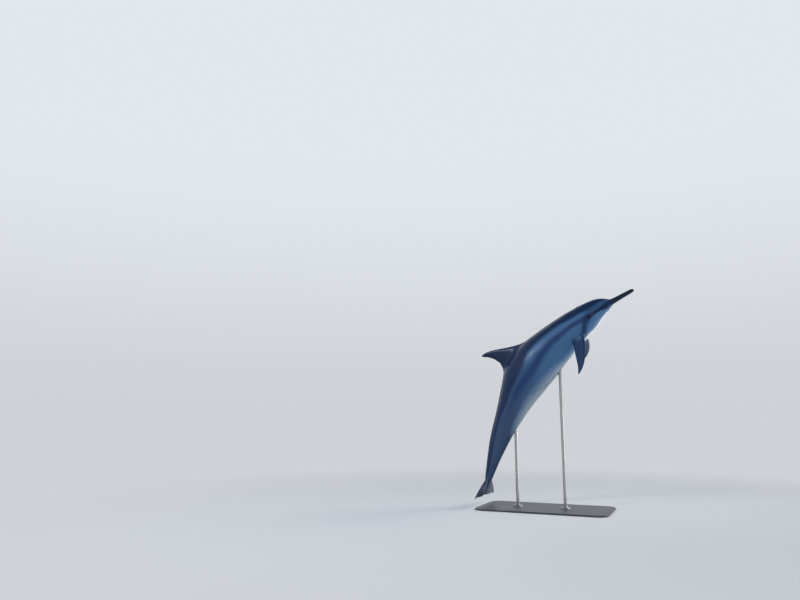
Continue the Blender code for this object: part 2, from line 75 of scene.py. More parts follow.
# ---------------------------------------------------------------- shader maths
class Value:
    """An output socket of a material's graph, with arithmetic."""

    def __init__(self, graph: "Graph", socket: bpy.types.NodeSocket) -> None:
        """Wrap a socket of a graph."""
        self.graph = graph
        self.socket = socket

    def __add__(self, other: "Value | float") -> "Value":
        """Add."""
        return self.graph.math("ADD", self, other)

    def __radd__(self, other: float) -> "Value":
        """Add, with the number first."""
        return self.graph.math("ADD", other, self)

    def __sub__(self, other: "Value | float") -> "Value":
        """Subtract."""
        return self.graph.math("SUBTRACT", self, other)

    def __rsub__(self, other: float) -> "Value":
        """Subtract from a number."""
        return self.graph.math("SUBTRACT", other, self)

    def __mul__(self, other: "Value | float") -> "Value":
        """Multiply."""
        return self.graph.math("MULTIPLY", self, other)

    def __rmul__(self, other: float) -> "Value":
        """Multiply, with the number first."""
        return self.graph.math("MULTIPLY", other, self)

    def __truediv__(self, other: "Value | float") -> "Value":
        """Divide."""
        return self.graph.math("DIVIDE", self, other)

    def __rtruediv__(self, other: float) -> "Value":
        """Divide a number."""
        return self.graph.math("DIVIDE", other, self)

    def size(self) -> "Value":
        """The value without its sign."""
        return self.graph.math("ABSOLUTE", self)

    def most(self, other: "Value | float") -> "Value":
        """The larger of two."""
        return self.graph.math("MAXIMUM", self, other)

    def fall(self, low: "Value | float", high: "Value | float") -> "Value":
        """Ease from 1 where the value is low to 0 where it is high."""
        return 1.0 - self.rise(low, high)

    def rise(self, low: "Value | float", high: "Value | float") -> "Value":
        """Ease from 0 where the value is low to 1 where it is high.

        Args:
            low: where the easing starts.
            high: where it ends.
        Returns:
            The eased share.
        """
        return self.graph.node("ShaderNodeMapRange", {"interpolation_type": "SMOOTHSTEP"},
                               {"Value": self, "From Min": low, "From Max": high})

    def near(self, middle: "Value | float", reach: "Value | float") -> "Value":
        """Ease from 1 at a middle value to 0 at a distance from it.

        Args:
            middle: where the result is 1.
            reach: the distance at which it is 0.
        Returns:
            The eased share.
        """
        return 1.0 - ((self - middle).size() / reach).rise(0.0, 1.0)


class Graph:
    """The node tree of a material or of the room, built by expressions."""

    def __init__(self, owner: bpy.types.ID, shader: str = "Principled BSDF") -> None:
        """Start the tree of a new material or world.

        Args:
            owner: the material or world.
            shader: the node that its tree starts with.
        """
        owner.use_nodes = True
        self.owner = owner
        self.tree = owner.node_tree
        self.shader = self.tree.nodes[shader]

    @classmethod
    def material(cls, name: str) -> "Graph":
        """The tree of a new material."""
        return cls(bpy.data.materials.new(name))

    def node(self, kind: str, settings: dict, inputs: dict, output: int = 0) -> Value:
        """Add a node.

        Args:
            kind: the node's type.
            settings: its properties, with "points" for a curve.
            inputs: values or links, by the socket's name or number.
            output: the number of the wanted output.
        Returns:
            That output.
        """
        made = self.tree.nodes.new(kind)
        for name, setting in settings.items():
            if name == "points":
                self.set_points(made.mapping, setting)
            else:
                setattr(made, name, setting)
        for name, fed in inputs.items():
            self.feed(made.inputs[name], fed)
        return Value(self, made.outputs[output])

    @staticmethod
    def set_points(mapping: bpy.types.CurveMapping, points: tuple) -> None:
        """Set a curve's points.

        Args:
            mapping: the mapping of a new Float Curve node.
            points: pairs of place and height, both from 0 to 1.
        """
        curve = mapping.curves[0]
        while len(curve.points) < len(points):
            curve.points.new(0.5, 0.5)
        for point, (place, height) in zip(curve.points, points):
            point.location = (place, height)
            point.handle_type = "AUTO_CLAMPED"
        mapping.extend = "HORIZONTAL"
        mapping.update()

    def feed(self, socket: bpy.types.NodeSocket, fed: "Value | float | tuple") -> None:
        """Link a value to a socket, or set a number or a colour on it.

        Args:
            socket: the socket.
            fed: what it gets.
        """
        if isinstance(fed, Value):
            self.tree.links.new(fed.socket, socket)
        elif isinstance(fed, tuple) and socket.type == "RGBA":
            socket.default_value = (*fed, 1.0)
        else:
            socket.default_value = fed

    def math(self, operation: str, *values: "Value | float") -> Value:
        """A Math node on one or two values."""
        return self.node("ShaderNodeMath", {"operation": operation}, dict(enumerate(values)))

    def attribute(self, name: str, output: int = 2) -> Value:
        """An attribute of the mesh, as a number unless another output is asked for."""
        return self.node("ShaderNodeAttribute", {"attribute_name": name}, {}, output)

    def place(self) -> Value:
        """The model's coordinates, in metres."""
        return self.node("ShaderNodeTexCoord", {}, {}, 3)

    def turned(self, vector: Value, turn: tuple = (0.0, 0.0, 0.0), scale: tuple = (1.0, 1.0, 1.0),
               shift: tuple = (0.0, 0.0, 0.0)) -> Value:
        """Coordinates turned, then stretched.

        Args:
            vector: the coordinates.
            turn: angles in degrees.
            scale: a factor for each axis.
            shift: what is added.
        Returns:
            The new coordinates.
        """
        turn = tuple(math.radians(angle) for angle in turn)
        return self.node("ShaderNodeMapping", {},
                         {"Vector": vector, "Rotation": turn, "Scale": scale, "Location": shift})

    def noise(self, vector: Value, scale: float, detail: float = 3.0, rough: float = 0.55) -> Value:
        """Soft noise from 0 to 1.

        Args:
            vector: the coordinates.
            scale: lumps in a metre.
            detail: octaves.
            rough: how strong the fine octaves are.
        Returns:
            The noise.
        """
        return self.node("ShaderNodeTexNoise", {},
                         {"Vector": vector, "Scale": scale, "Detail": detail, "Roughness": rough})

    @staticmethod
    def about(middle: float, *parts: tuple) -> Value:
        """A value that noises vary.

        Args:
            middle: the value where every noise is a half.
            parts: pairs of a noise and its strength.
        Returns:
            The varied value.
        """
        varied = [noise * strength for noise, strength in parts]
        rest = middle - sum(strength for _, strength in parts) / 2.0
        return sum(varied[1:], varied[0]) + rest

    def curve(self, value: Value, points: tuple, top: float) -> Value:
        """A function of a value from 0 to 1, drawn through given points.

        Args:
            value: where to read it.
            points: pairs of place and height.
            top: the height that counts as 1.
        Returns:
            The height.
        """
        shares = tuple((place, height / top) for place, height in points)
        return self.node("ShaderNodeFloatCurve", {"points": shares}, {"Value": value}) * top

    def mix(self, under: "Value | tuple", over: "Value | tuple", share: Value) -> Value:
        """Lay one colour over another.

        Args:
            under: the colour where the share is 0.
            over: the colour where it is 1.
            share: how much of the upper colour shows.
        Returns:
            The colour.
        """
        colours = {6: under, 7: over}       # by number, because other inputs have their names too
        return self.node("ShaderNodeMix", {"data_type": "RGBA"}, {0: share, **colours}, 2)

    def tint(self, colour: "Value | tuple", factor: Value) -> Value:
        """A colour made lighter or darker by a factor."""
        grey = self.node("ShaderNodeCombineXYZ", {}, {0: factor, 1: factor, 2: factor})
        return self.node("ShaderNodeVectorMath", {"operation": "MULTIPLY"}, {0: colour, 1: grey})

    def bump(self, height: Value, distance: float, strength: float = 1.0) -> Value:
        """A bumped normal from a height, whose 1 stands for a distance in metres."""
        return self.node("ShaderNodeBump", {},
                         {"Height": height, "Distance": distance, "Strength": strength})

    def finish(self, **sockets: "Value | float | tuple") -> bpy.types.ID:
        """Feed the shader's sockets.

        Args:
            sockets: what each gets, by its name with _ for a space.
        Returns:
            The material or world that owns the tree.
        """
        for name, fed in sockets.items():
            self.feed(self.shader.inputs[name.replace("_", " ")], fed)
        return self.owner


def shade(*levels: int) -> tuple:
    """A display colour's red, green and blue, 0 to 255, as the linear colour of a shader."""
    return tuple((c / 12.92 if c <= 0.04045 else ((c + 0.055) / 1.055) ** 2.4)
                 for c in (level / 255.0 for level in levels))


# ---------------------------------------------------------------- meshes and objects
def pushed(bm: bmesh.types.BMesh, faces: list) -> list:
    """Extrude faces.

    Args:
        bm: their mesh.
        faces: the faces, which are deleted.
    Returns:
        The new faces in their place.
    """
    new = bmesh.ops.extrude_face_region(bm, geom=faces)["geom"]
    bmesh.ops.delete(bm, geom=faces, context="FACES")
    return [item for item in new if isinstance(item, bmesh.types.BMFace)]


def corners(faces: list) -> set:
    """The points of some faces."""
    return {vert for face in faces for vert in face.verts}


def mesh_from(name: str, bm: bmesh.types.BMesh) -> bpy.types.Mesh:
    """Turn a bmesh into a mesh.

    Args:
        name: the mesh's name.
        bm: its shape, which is freed.
    Returns:
        The mesh.
    """
    mesh = bpy.data.meshes.new(name)
    bm.to_mesh(mesh)
    bm.free()
    return mesh


def placed(name: str, data: bpy.types.ID) -> bpy.types.Object:
    """Put a mesh, a lamp or a camera into the scene.

    Args:
        name: the object's name.
        data: what it holds.
    Returns:
        The object.
    """
    made = bpy.data.objects.new(name, data)
    bpy.context.collection.objects.link(made)
    return made


# ---------------------------------------------------------------- the body's form
def smoothstep(share: float) -> float:
    """Ease from 0 to 1."""
    share = min(1.0, max(0.0, share))
    return share * share * (3.0 - 2.0 * share)


def monotone(xs: list, ys: list, x: float) -> float:
    """Read a smooth curve through points that never overshoots them.

    Args:
        xs: the points' places, rising.
        ys: their heights.
        x: where to read the curve.
    Returns:
        The height there.
    """
    if x <= xs[0]:
        return ys[0]
    if x >= xs[-1]:
        return ys[-1]
    widths = [b - a for a, b in zip(xs, xs[1:])]
    rises = [(b - a) / w for a, b, w in zip(ys, ys[1:], widths)]

    def slope(i: int) -> float:
        """The curve's slope at a point.

        Args:
            i: the point's number.
        Returns:
            The slope, which is 0 at a turning point.
        """
        if i in (0, len(xs) - 1):
            return rises[min(i, len(rises) - 1)]
        if rises[i - 1] * rises[i] <= 0.0:
            return 0.0
        before = 2.0 * widths[i] + widths[i - 1]
        after = widths[i] + 2.0 * widths[i - 1]
        return (before + after) / (before / rises[i - 1] + after / rises[i])

    k = max(i for i in range(len(widths)) if xs[i] <= x)
    t = (x - xs[k]) / widths[k]
    rise = ys[k + 1] - ys[k]
    bulge = t * (1.0 - t) ** 2 * slope(k) - t * t * (1.0 - t) * slope(k + 1)
    return ys[k] + rise * t * t * (3.0 - 2.0 * t) + widths[k] * bulge


@dataclass(frozen=True)
class Station:
    """The body's section at one place: half sizes from the spine outwards."""

    place: float            # share of the length, from the beak tip
    above: float
    below: float
    side: float
    keel: float             # 1 is an oval, more pinches the back and the belly to a ridge


@dataclass(frozen=True)
class Lay:
    """Where the rows lie round the body at one place, in degrees from the back."""

    place: float
    angles: tuple


@dataclass(frozen=True)
class Span:
    """A stretch of the body and how many rings divide it."""

    end: float
    rings: int


@dataclass(frozen=True)
class Form:
    """The body's middle line, its sections, and the rings and rows that lie on them."""

    length: float = 1.90
    beak_tip: tuple = (0.675, 0.0, 1.513)
    beak_pitch: float = 26.8
    bends: tuple = ((0.08, 0.25, 10.3), (0.30, 0.65, 26.3), (0.60, 0.90, 11.6))  # from, to, degrees
    steps: int = 400        # of the middle line
    overrun: int = 40       # steps past the notch
    rows: int = 20
    stations: tuple = (
        Station(0.000, 0.0050, 0.0050, 0.0060, 0.90),
        Station(0.002, 0.0100, 0.0092, 0.0115, 0.85),
        Station(0.006, 0.0135, 0.0120, 0.0140, 0.80),
        Station(0.025, 0.0160, 0.0140, 0.0170, 0.80),
        Station(0.085, 0.0205, 0.0190, 0.0280, 0.88),
        Station(0.094, 0.0280, 0.0230, 0.0330, 0.90),
        Station(0.110, 0.0540, 0.0380, 0.0460, 0.93),
        Station(0.130, 0.0750, 0.0560, 0.0590, 0.95),
        Station(0.160, 0.0910, 0.0800, 0.0725, 0.95),
        Station(0.198, 0.1040, 0.1030, 0.0860, 0.97),
        Station(0.256, 0.1240, 0.1200, 0.1060, 1.00),
        Station(0.343, 0.1430, 0.1470, 0.1300, 1.00),
        Station(0.450, 0.1660, 0.1770, 0.1430, 1.00),
        Station(0.520, 0.1640, 0.1730, 0.1370, 1.03),
        Station(0.600, 0.1220, 0.1450, 0.1070, 1.10),
        Station(0.700, 0.0790, 0.1110, 0.0690, 1.22),
        Station(0.800, 0.0620, 0.0760, 0.0440, 1.30),
        Station(0.870, 0.0430, 0.0490, 0.0310, 1.30),
        Station(0.915, 0.0360, 0.0370, 0.0235, 1.20),
        Station(0.940, 0.0250, 0.0250, 0.0240, 1.05),
        Station(0.965, 0.0150, 0.0150, 0.0260, 1.00),
        Station(1.000, 0.0070, 0.0070, 0.0220, 1.00),
    )
    lays: tuple = (
        Lay(0.000, (0, 16, 34, 52, 68, 81, 93, 96, 112, 142, 180)),
        Lay(0.085, (0, 16, 34, 52, 68, 84, 98, 101, 116, 146, 180)),
        Lay(0.154, (0, 11, 30, 51, 72, 90, 100, 102, 118, 147, 180)),
        Lay(0.187, (0, 10, 29, 50, 77, 101, 118, 128, 141, 159, 180)),
        Lay(0.243, (0, 10, 28, 50, 76, 103, 131, 140, 149, 163, 180)),
        Lay(0.300, (0, 10, 28, 50, 76, 103, 131, 140, 149, 163, 180)),
        Lay(0.425, (0, 10, 28, 48, 70, 92, 112, 128, 144, 162, 180)),
        Lay(0.600, (0, 10, 28, 48, 70, 92, 112, 128, 144, 162, 180)),
        Lay(0.930, (0, 16, 36, 56, 74, 90, 106, 124, 144, 164, 180)),
        Lay(1.000, (0, 16, 36, 56, 74, 90, 106, 124, 144, 164, 180)),
    )
    spans: tuple = (
        Span(0.004, 1),          # beak tip
        Span(0.020, 2),
        Span(0.086, 3),          # beak
        Span(0.112, 3),          # crease between beak and melon
        Span(0.154, 3),          # melon and mouth
        Span(0.174, 1),          # cheek
        Span(0.213, 3),          # eyes and blowhole
        Span(0.243, 2),          # neck
        Span(0.292, 4),          # flipper roots
        Span(0.313, 1),          # behind the flippers
        Span(0.425, 2),          # chest
        Span(0.548, 5),          # dorsal fin's base
        Span(0.930, 6),          # tail stock
        Span(1.000, 4),          # fluke roots
    )

    def pitch(self, place: float) -> float:
        """Find how steep the spine is.

        Args:
            place: share of the length, from the beak tip.
        Returns:
            Its slope to the head, in radians.
        """
        bent = sum(turn * smoothstep((place - start) / (end - start))
                   for start, end, turn in self.bends)
        return math.radians(self.beak_pitch + bent)

    def forward(self, place: float) -> Vector:
        """The way the spine points, to the head."""
        pitch = self.pitch(place)
        return Vector((math.cos(pitch), 0.0, math.sin(pitch)))

    def dorsal(self, place: float) -> Vector:
        """The way to the back, square to the spine."""
        pitch = self.pitch(place)
        return Vector((-math.sin(pitch), 0.0, math.cos(pitch)))

    def middle_line(self) -> list:
        """Walk down the spine.

        Returns:
            Its points, a step apart, from the beak tip to a little past the notch.
        """
        points = [Vector(self.beak_tip)]
        for i in range(self.steps + self.overrun):
            back = self.forward((i + 0.5) / self.steps) * (self.length / self.steps)
            points.append(points[-1] - back)
        return points

    def section(self, place: float, angle: float) -> tuple:
        """Find a skin point beside the spine.

        Args:
            place: share of the length, from the beak tip.
            angle: degrees from the back, over the left side.
        Returns:
            The point's offsets to the left and up.
        """
        places = [station.place for station in self.stations]
        above, below, side, keel = (
            monotone(places, [getattr(station, size) for station in self.stations], place)
            for size in ("above", "below", "side", "keel"))
        turn = math.radians(angle)
        sine = math.sin(turn)
        width = math.copysign(side * abs(sine) ** keel, sine) if abs(sine) > 1e-6 else 0.0
        return width, (above if math.cos(turn) > 0.0 else below) * math.cos(turn)

    def row_angle(self, place: float, row: int) -> float:
        """Find where a row runs.

        Args:
            place: share of the length, from the beak tip.
            row: the row's number, from the back over the left side.
        Returns:
            Its angle in degrees from the back, past 180 on the right side.
        """
        half = self.rows // 2
        k = row if row <= half else self.rows - row
        before = max((lay for lay in self.lays if lay.place <= place), key=lambda lay: lay.place)
        after = min((lay for lay in self.lays if lay.place >= place), key=lambda lay: lay.place)
        share = smoothstep((place - before.place) / max(1e-6, after.place - before.place))
        angle = before.angles[k] + (after.angles[k] - before.angles[k]) * share
        return angle if row <= half else 360.0 - angle

    def ring_places(self) -> list:
        """Divide the body into rings.

        Returns:
            Their places, from the beak tip to the notch.
        """
        places = [0.0]
        for span in self.spans:
            first = places[-1]
            places += [first + (span.end - first) * (i + 1) / span.rings
                       for i in range(span.rings)]
        return places


FORM = Form()
MIDDLE_LINE = FORM.middle_line()
PLACES = FORM.ring_places()


def spine_point(place: float, side: float = 0.0, up: float = 0.0) -> Vector:
    """A point beside the spine.

    Args:
        place: share of the length, from the beak tip.
        side: offset to the left.
        up: offset to the back.
    Returns:
        The point.
    """
    step = max(0.0, place * FORM.steps)
    i = min(int(step), len(MIDDLE_LINE) - 2)
    middle = MIDDLE_LINE[i].lerp(MIDDLE_LINE[i + 1], step - i)
    return middle + Vector((0.0, side, 0.0)) + FORM.dorsal(place) * up


def skin_point(place: float, angle: float) -> Vector:
    """A point of the skin, by its place and its angle in degrees from the back."""
    return spine_point(place, *FORM.section(place, angle))


def skin_axes(place: float, angle: float) -> tuple:
    """The skin's directions at a point: to the head, round the body, and outwards.

    Args:
        place: share of the length, from the beak tip.
        angle: degrees from the back, over the left side.
    Returns:
        The three unit vectors.
    """
    step = 1.0 / FORM.steps
    ahead = (skin_point(place - step, angle) - skin_point(place + step, angle)).normalized()
    across = (skin_point(place, angle + 1.0) - skin_point(place, angle - 1.0)).normalized()
    return ahead, across, ahead.cross(across).normalized()


def ring_at(place: float) -> int:
    """The number of the ring nearest a place."""
    return min(range(len(PLACES)), key=lambda i: abs(PLACES[i] - place))


# ---------------------------------------------------------------- fins and openings
class Side(Enum):
    """The animal's left and right, as the sign of Y."""

    LEFT = 1
    RIGHT = -1

    @property
    def word(self) -> str:
        """The side's name in the nodes."""
        return self.name.lower()

    def row(self, row: int) -> int:
        """A left row's number on this side."""
        return row if self is Side.LEFT else (FORM.rows - row) % FORM.rows


class Fin(Enum):
    """The kinds of fin, as the names of their marks on the skin."""

    DORSAL = "dorsal"
    FLIPPER = "flipper"
    FLUKE = "fluke"


@dataclass(frozen=True)
class Rib:
    """One section of a fin: how far out, where its two edges are, and how thick it is."""

    out: float
    lead: float
    trail: float
    thick: float


@dataclass(frozen=True)
class Blade:
    """A fin that grows from a patch of the body's faces, two rows wide."""

    kind: Fin
    rings: tuple            # first and last ring of the patch
    row: int                # the patch's middle row
    root: Vector            # where the leading edge meets the body
    chord: Vector           # from the leading to the trailing edge
    span: Vector            # from the body to the tip
    ribs: tuple
    face_ends: tuple = (0.03, 0.96)     # the faces' first and last points, as shares of the chord
    face_ease: float = 0.65             # how much the others draw towards them
    terms: tuple = (1.4845, -0.630, -1.758, 1.4215, -0.5075)    # of a symmetrical aerofoil,
    powers: tuple = (0.5, 1, 2, 3, 4)                           # and of the share that they take

    def share(self, ring: int) -> float:
        """How far back a ring is between the leading and the trailing edge."""
        return (ring - self.rings[0]) / (self.rings[1] - self.rings[0])

    def place(self, rib: Rib, ring: int, row_step: int) -> Vector:
        """Where a patch point goes on a rib: an aerofoil with a round nose and a fine tail.

        Args:
            rib: the fin's section.
            ring: the point's ring.
            row_step: -1 or 1 on the two faces, 0 on the edges.
        Returns:
            The point.
        """
        share = self.share(ring)
        if row_step:
            first, last = self.face_ends
            share += (smoothstep(share) - share) * self.face_ease
            share = first + (last - first) * share
        half = rib.thick * sum(term * share ** power
                               for term, power in zip(self.terms, self.powers))
        chord = self.chord.normalized()
        span = self.span.normalized()
        normal = chord.cross(self.span).normalized()
        along = rib.lead + (rib.trail - rib.lead) * share
        return self.root + chord * along + span * rib.out + normal * half * row_step


@dataclass(frozen=True)
class Fins:
    """The sizes of the five fins."""

    dorsal_span: tuple = (0.425, 0.548)
    flipper_span: tuple = (0.243, 0.292)
    fluke_span: tuple = (0.930, 1.000)
    flipper_row: int = 7
    fluke_row: int = 5
    left_way: tuple = (-0.240, 0.940, -0.240)       # forward, outward and up, seen from the body
    right_way: tuple = (-0.500, 0.380, -0.780)
    dorsal_ribs: tuple = (
        Rib(0.034, 0.046, 0.250, 0.034),
        Rib(0.070, 0.088, 0.236, 0.028),
        Rib(0.110, 0.129, 0.234, 0.022),
        Rib(0.150, 0.167, 0.245, 0.017),
        Rib(0.186, 0.208, 0.263, 0.011),
        Rib(0.205, 0.237, 0.274, 0.007),
        Rib(0.213, 0.260, 0.276, 0.004),
    )
    flipper_ribs: tuple = (
        Rib(0.022, -0.004, 0.088, 0.028),
        Rib(0.090, -0.008, 0.081, 0.022),
        Rib(0.165, -0.004, 0.070, 0.016),
        Rib(0.235, 0.012, 0.058, 0.011),
        Rib(0.276, 0.033, 0.057, 0.008),
        Rib(0.299, 0.050, 0.060, 0.004),
    )
    fluke_ribs: tuple = (
        Rib(0.020, 0.006, 0.140, 0.026),
        Rib(0.072, 0.033, 0.145, 0.018),
        Rib(0.125, 0.068, 0.138, 0.013),
        Rib(0.172, 0.103, 0.138, 0.009),
        Rib(0.204, 0.137, 0.146, 0.005),
    )

    def dorsal(self) -> Blade:
        """The fin on the back.

        Returns:
            Its blade.
        """
        front, back = (skin_point(place, 0.0) for place in self.dorsal_span)
        chord = back - front
        return Blade(Fin.DORSAL, tuple(ring_at(place) for place in self.dorsal_span), 0, front, chord,
                     chord.cross(Vector((0.0, -1.0, 0.0))), self.dorsal_ribs)

    def flipper(self, side: Side) -> Blade:
        """A flipper: the left one is spread, the right one hangs.

        Args:
            side: the side it is on.
        Returns:
            Its blade.
        """
        place = self.flipper_span[0]
        row = side.row(self.flipper_row)
        ahead, out, up = self.left_way if side is Side.LEFT else self.right_way
        span = (FORM.forward(place) * ahead + Vector((0.0, side.value * out, 0.0))
                + FORM.dorsal(place) * up).normalized()
        chord = -FORM.forward(place) + span * FORM.forward(place).dot(span)
        root = skin_point(place, FORM.row_angle(place, row))
        return Blade(Fin.FLIPPER, tuple(ring_at(p) for p in self.flipper_span), row, root, chord,
                     span, self.flipper_ribs)

    def fluke(self, side: Side) -> Blade:
        """Half of the tail's blade.

        Args:
            side: the side it is on.
        Returns:
            Its blade.
        """
        place = self.fluke_span[0]
        row = side.row(self.fluke_row)
        root = skin_point(place, FORM.row_angle(place, row))
        return Blade(Fin.FLUKE, tuple(ring_at(p) for p in self.fluke_span), row, root,
                     -FORM.forward(1.0), Vector((0.0, float(side.value), 0.0)), self.fluke_ribs)

    def all(self) -> list:
        """The five fins."""
        pairs = [make(side) for side in Side for make in (self.flipper, self.fluke)]
        return [self.dorsal(), *pairs]


@dataclass(frozen=True)
class Loop:
    """One loop of an opening: half sizes along and across the body, and height over the skin."""

    along: float
    across: float
    out: float
    bend: float = 0.0       # how far the two ends across the body are moved to the head
    corner: float = 0.7071  # half size across at the loop's diagonals, less for pointed ends


@dataclass(frozen=True)
class Opening:
    """A hole or slit that is sunk into four faces round one point of the cage."""

    place: float
    row: int
    angle: float
    loops: tuple
    sharp: int = 1          # the loop that is the opening's edge
    crease: float = 0.5     # how sharp that edge is

    def spot(self, loop: Loop, ring_step: int, row_step: int) -> Vector:
        """Where one of the nine points of a loop goes.

        Args:
            loop: the loop.
            ring_step: -1, 0 or 1, to the tail.
            row_step: -1, 0 or 1, to the belly on the left and to the back on the right.
        Returns:
            The point.
        """
        slanted = bool(ring_step and row_step)
        ahead = -ring_step * loop.along * (math.sqrt(0.5) if slanted else 1.0)
        ahead += loop.bend * row_step ** 2 * (0.5 if slanted else 1.0)
        across = row_step * loop.across * (loop.corner if slanted else 1.0)
        middle = skin_point(self.place, self.angle)
        turn = math.degrees(across / (middle - spine_point(self.place)).length)
        place = self.place - ahead / FORM.length
        return skin_point(place, self.angle + turn) + \
            skin_axes(place, self.angle + turn)[2] * loop.out


@dataclass(frozen=True)
class Openings:
    """The eyes' lids, the ears' pits, the blowhole and the slit of the belly."""

    eye_place: float = 0.187
    eye_row: int = 5
    lids: tuple = (
        Loop(0.0225, 0.0172, 0.0000),
        Loop(0.0190, 0.0132, -0.0013),                  # the furrow round them
        Loop(0.0164, 0.0104, 0.0016),
        Loop(0.0146, 0.0080, 0.0018, corner=0.60),      # their rims
        Loop(0.0134, 0.0069, -0.0004, corner=0.60),
        Loop(0.0130, 0.0066, -0.0065, corner=0.60),
    )
    ear_place: float = 0.213
    ear: tuple = (
        Loop(0.0032, 0.0032, -0.0002),
        Loop(0.0008, 0.0008, -0.0024),
    )
    blowhole_place: float = 0.200
    blowhole: tuple = (
        Loop(0.0220, 0.0230, 0.0000, 0.000),
        Loop(0.0120, 0.0190, 0.0020, 0.003),
        Loop(0.0042, 0.0160, 0.0012, 0.006),
        Loop(0.0026, 0.0130, -0.0140, 0.006),
    )
    vent_place: float = 0.655
    vent: tuple = (
        Loop(0.0560, 0.0150, 0.0000),
        Loop(0.0480, 0.0055, 0.0012),
        Loop(0.0440, 0.0015, -0.0030),
        Loop(0.0420, 0.0010, -0.0070),
    )

    def all(self) -> list:
        """List every opening.

        Returns:
            The openings of both sides, then the blowhole and the belly's slit on their rings.
        """
        made = []
        for row in (side.row(self.eye_row) for side in Side):
            for place, loops, sharp in ((self.eye_place, self.lids, 3),
                                        (self.ear_place, self.ear, 0)):
                made.append(Opening(place, row, FORM.row_angle(place, row), loops, sharp))
        for place, row, loops, sharp in ((self.blowhole_place, 0, self.blowhole, 2),
                                         (self.vent_place, FORM.rows // 2, self.vent, 1)):
            place = PLACES[ring_at(place)]
            made.append(Opening(place, row, FORM.row_angle(place, row), loops, sharp))
        return made


@dataclass(frozen=True)
class Mouth:
    """The closed mouth: a slit between two rows, round the beak's tip and back to the cheeks."""

    rows: tuple = (6, 7)
    end: float = 0.154
    depth: float = 0.0060
    deepest: float = 0.5    # the most depth, as a share of the way to the spine
    corner: float = 0.3     # depth at the mouth's corners, as a share
    tip: float = 0.6        # how far the floor is behind the beak's tip, as a share of the depth
    pinch: float = 0.60     # width of the slit's floor, as a share of its mouth
    lips: float = 0.30      # how sharp the lips' edges are

    def holds(self, row: int) -> bool:
        """Whether a row is one of the slit's, on either side."""
        return row in self.rows or FORM.rows - row in self.rows


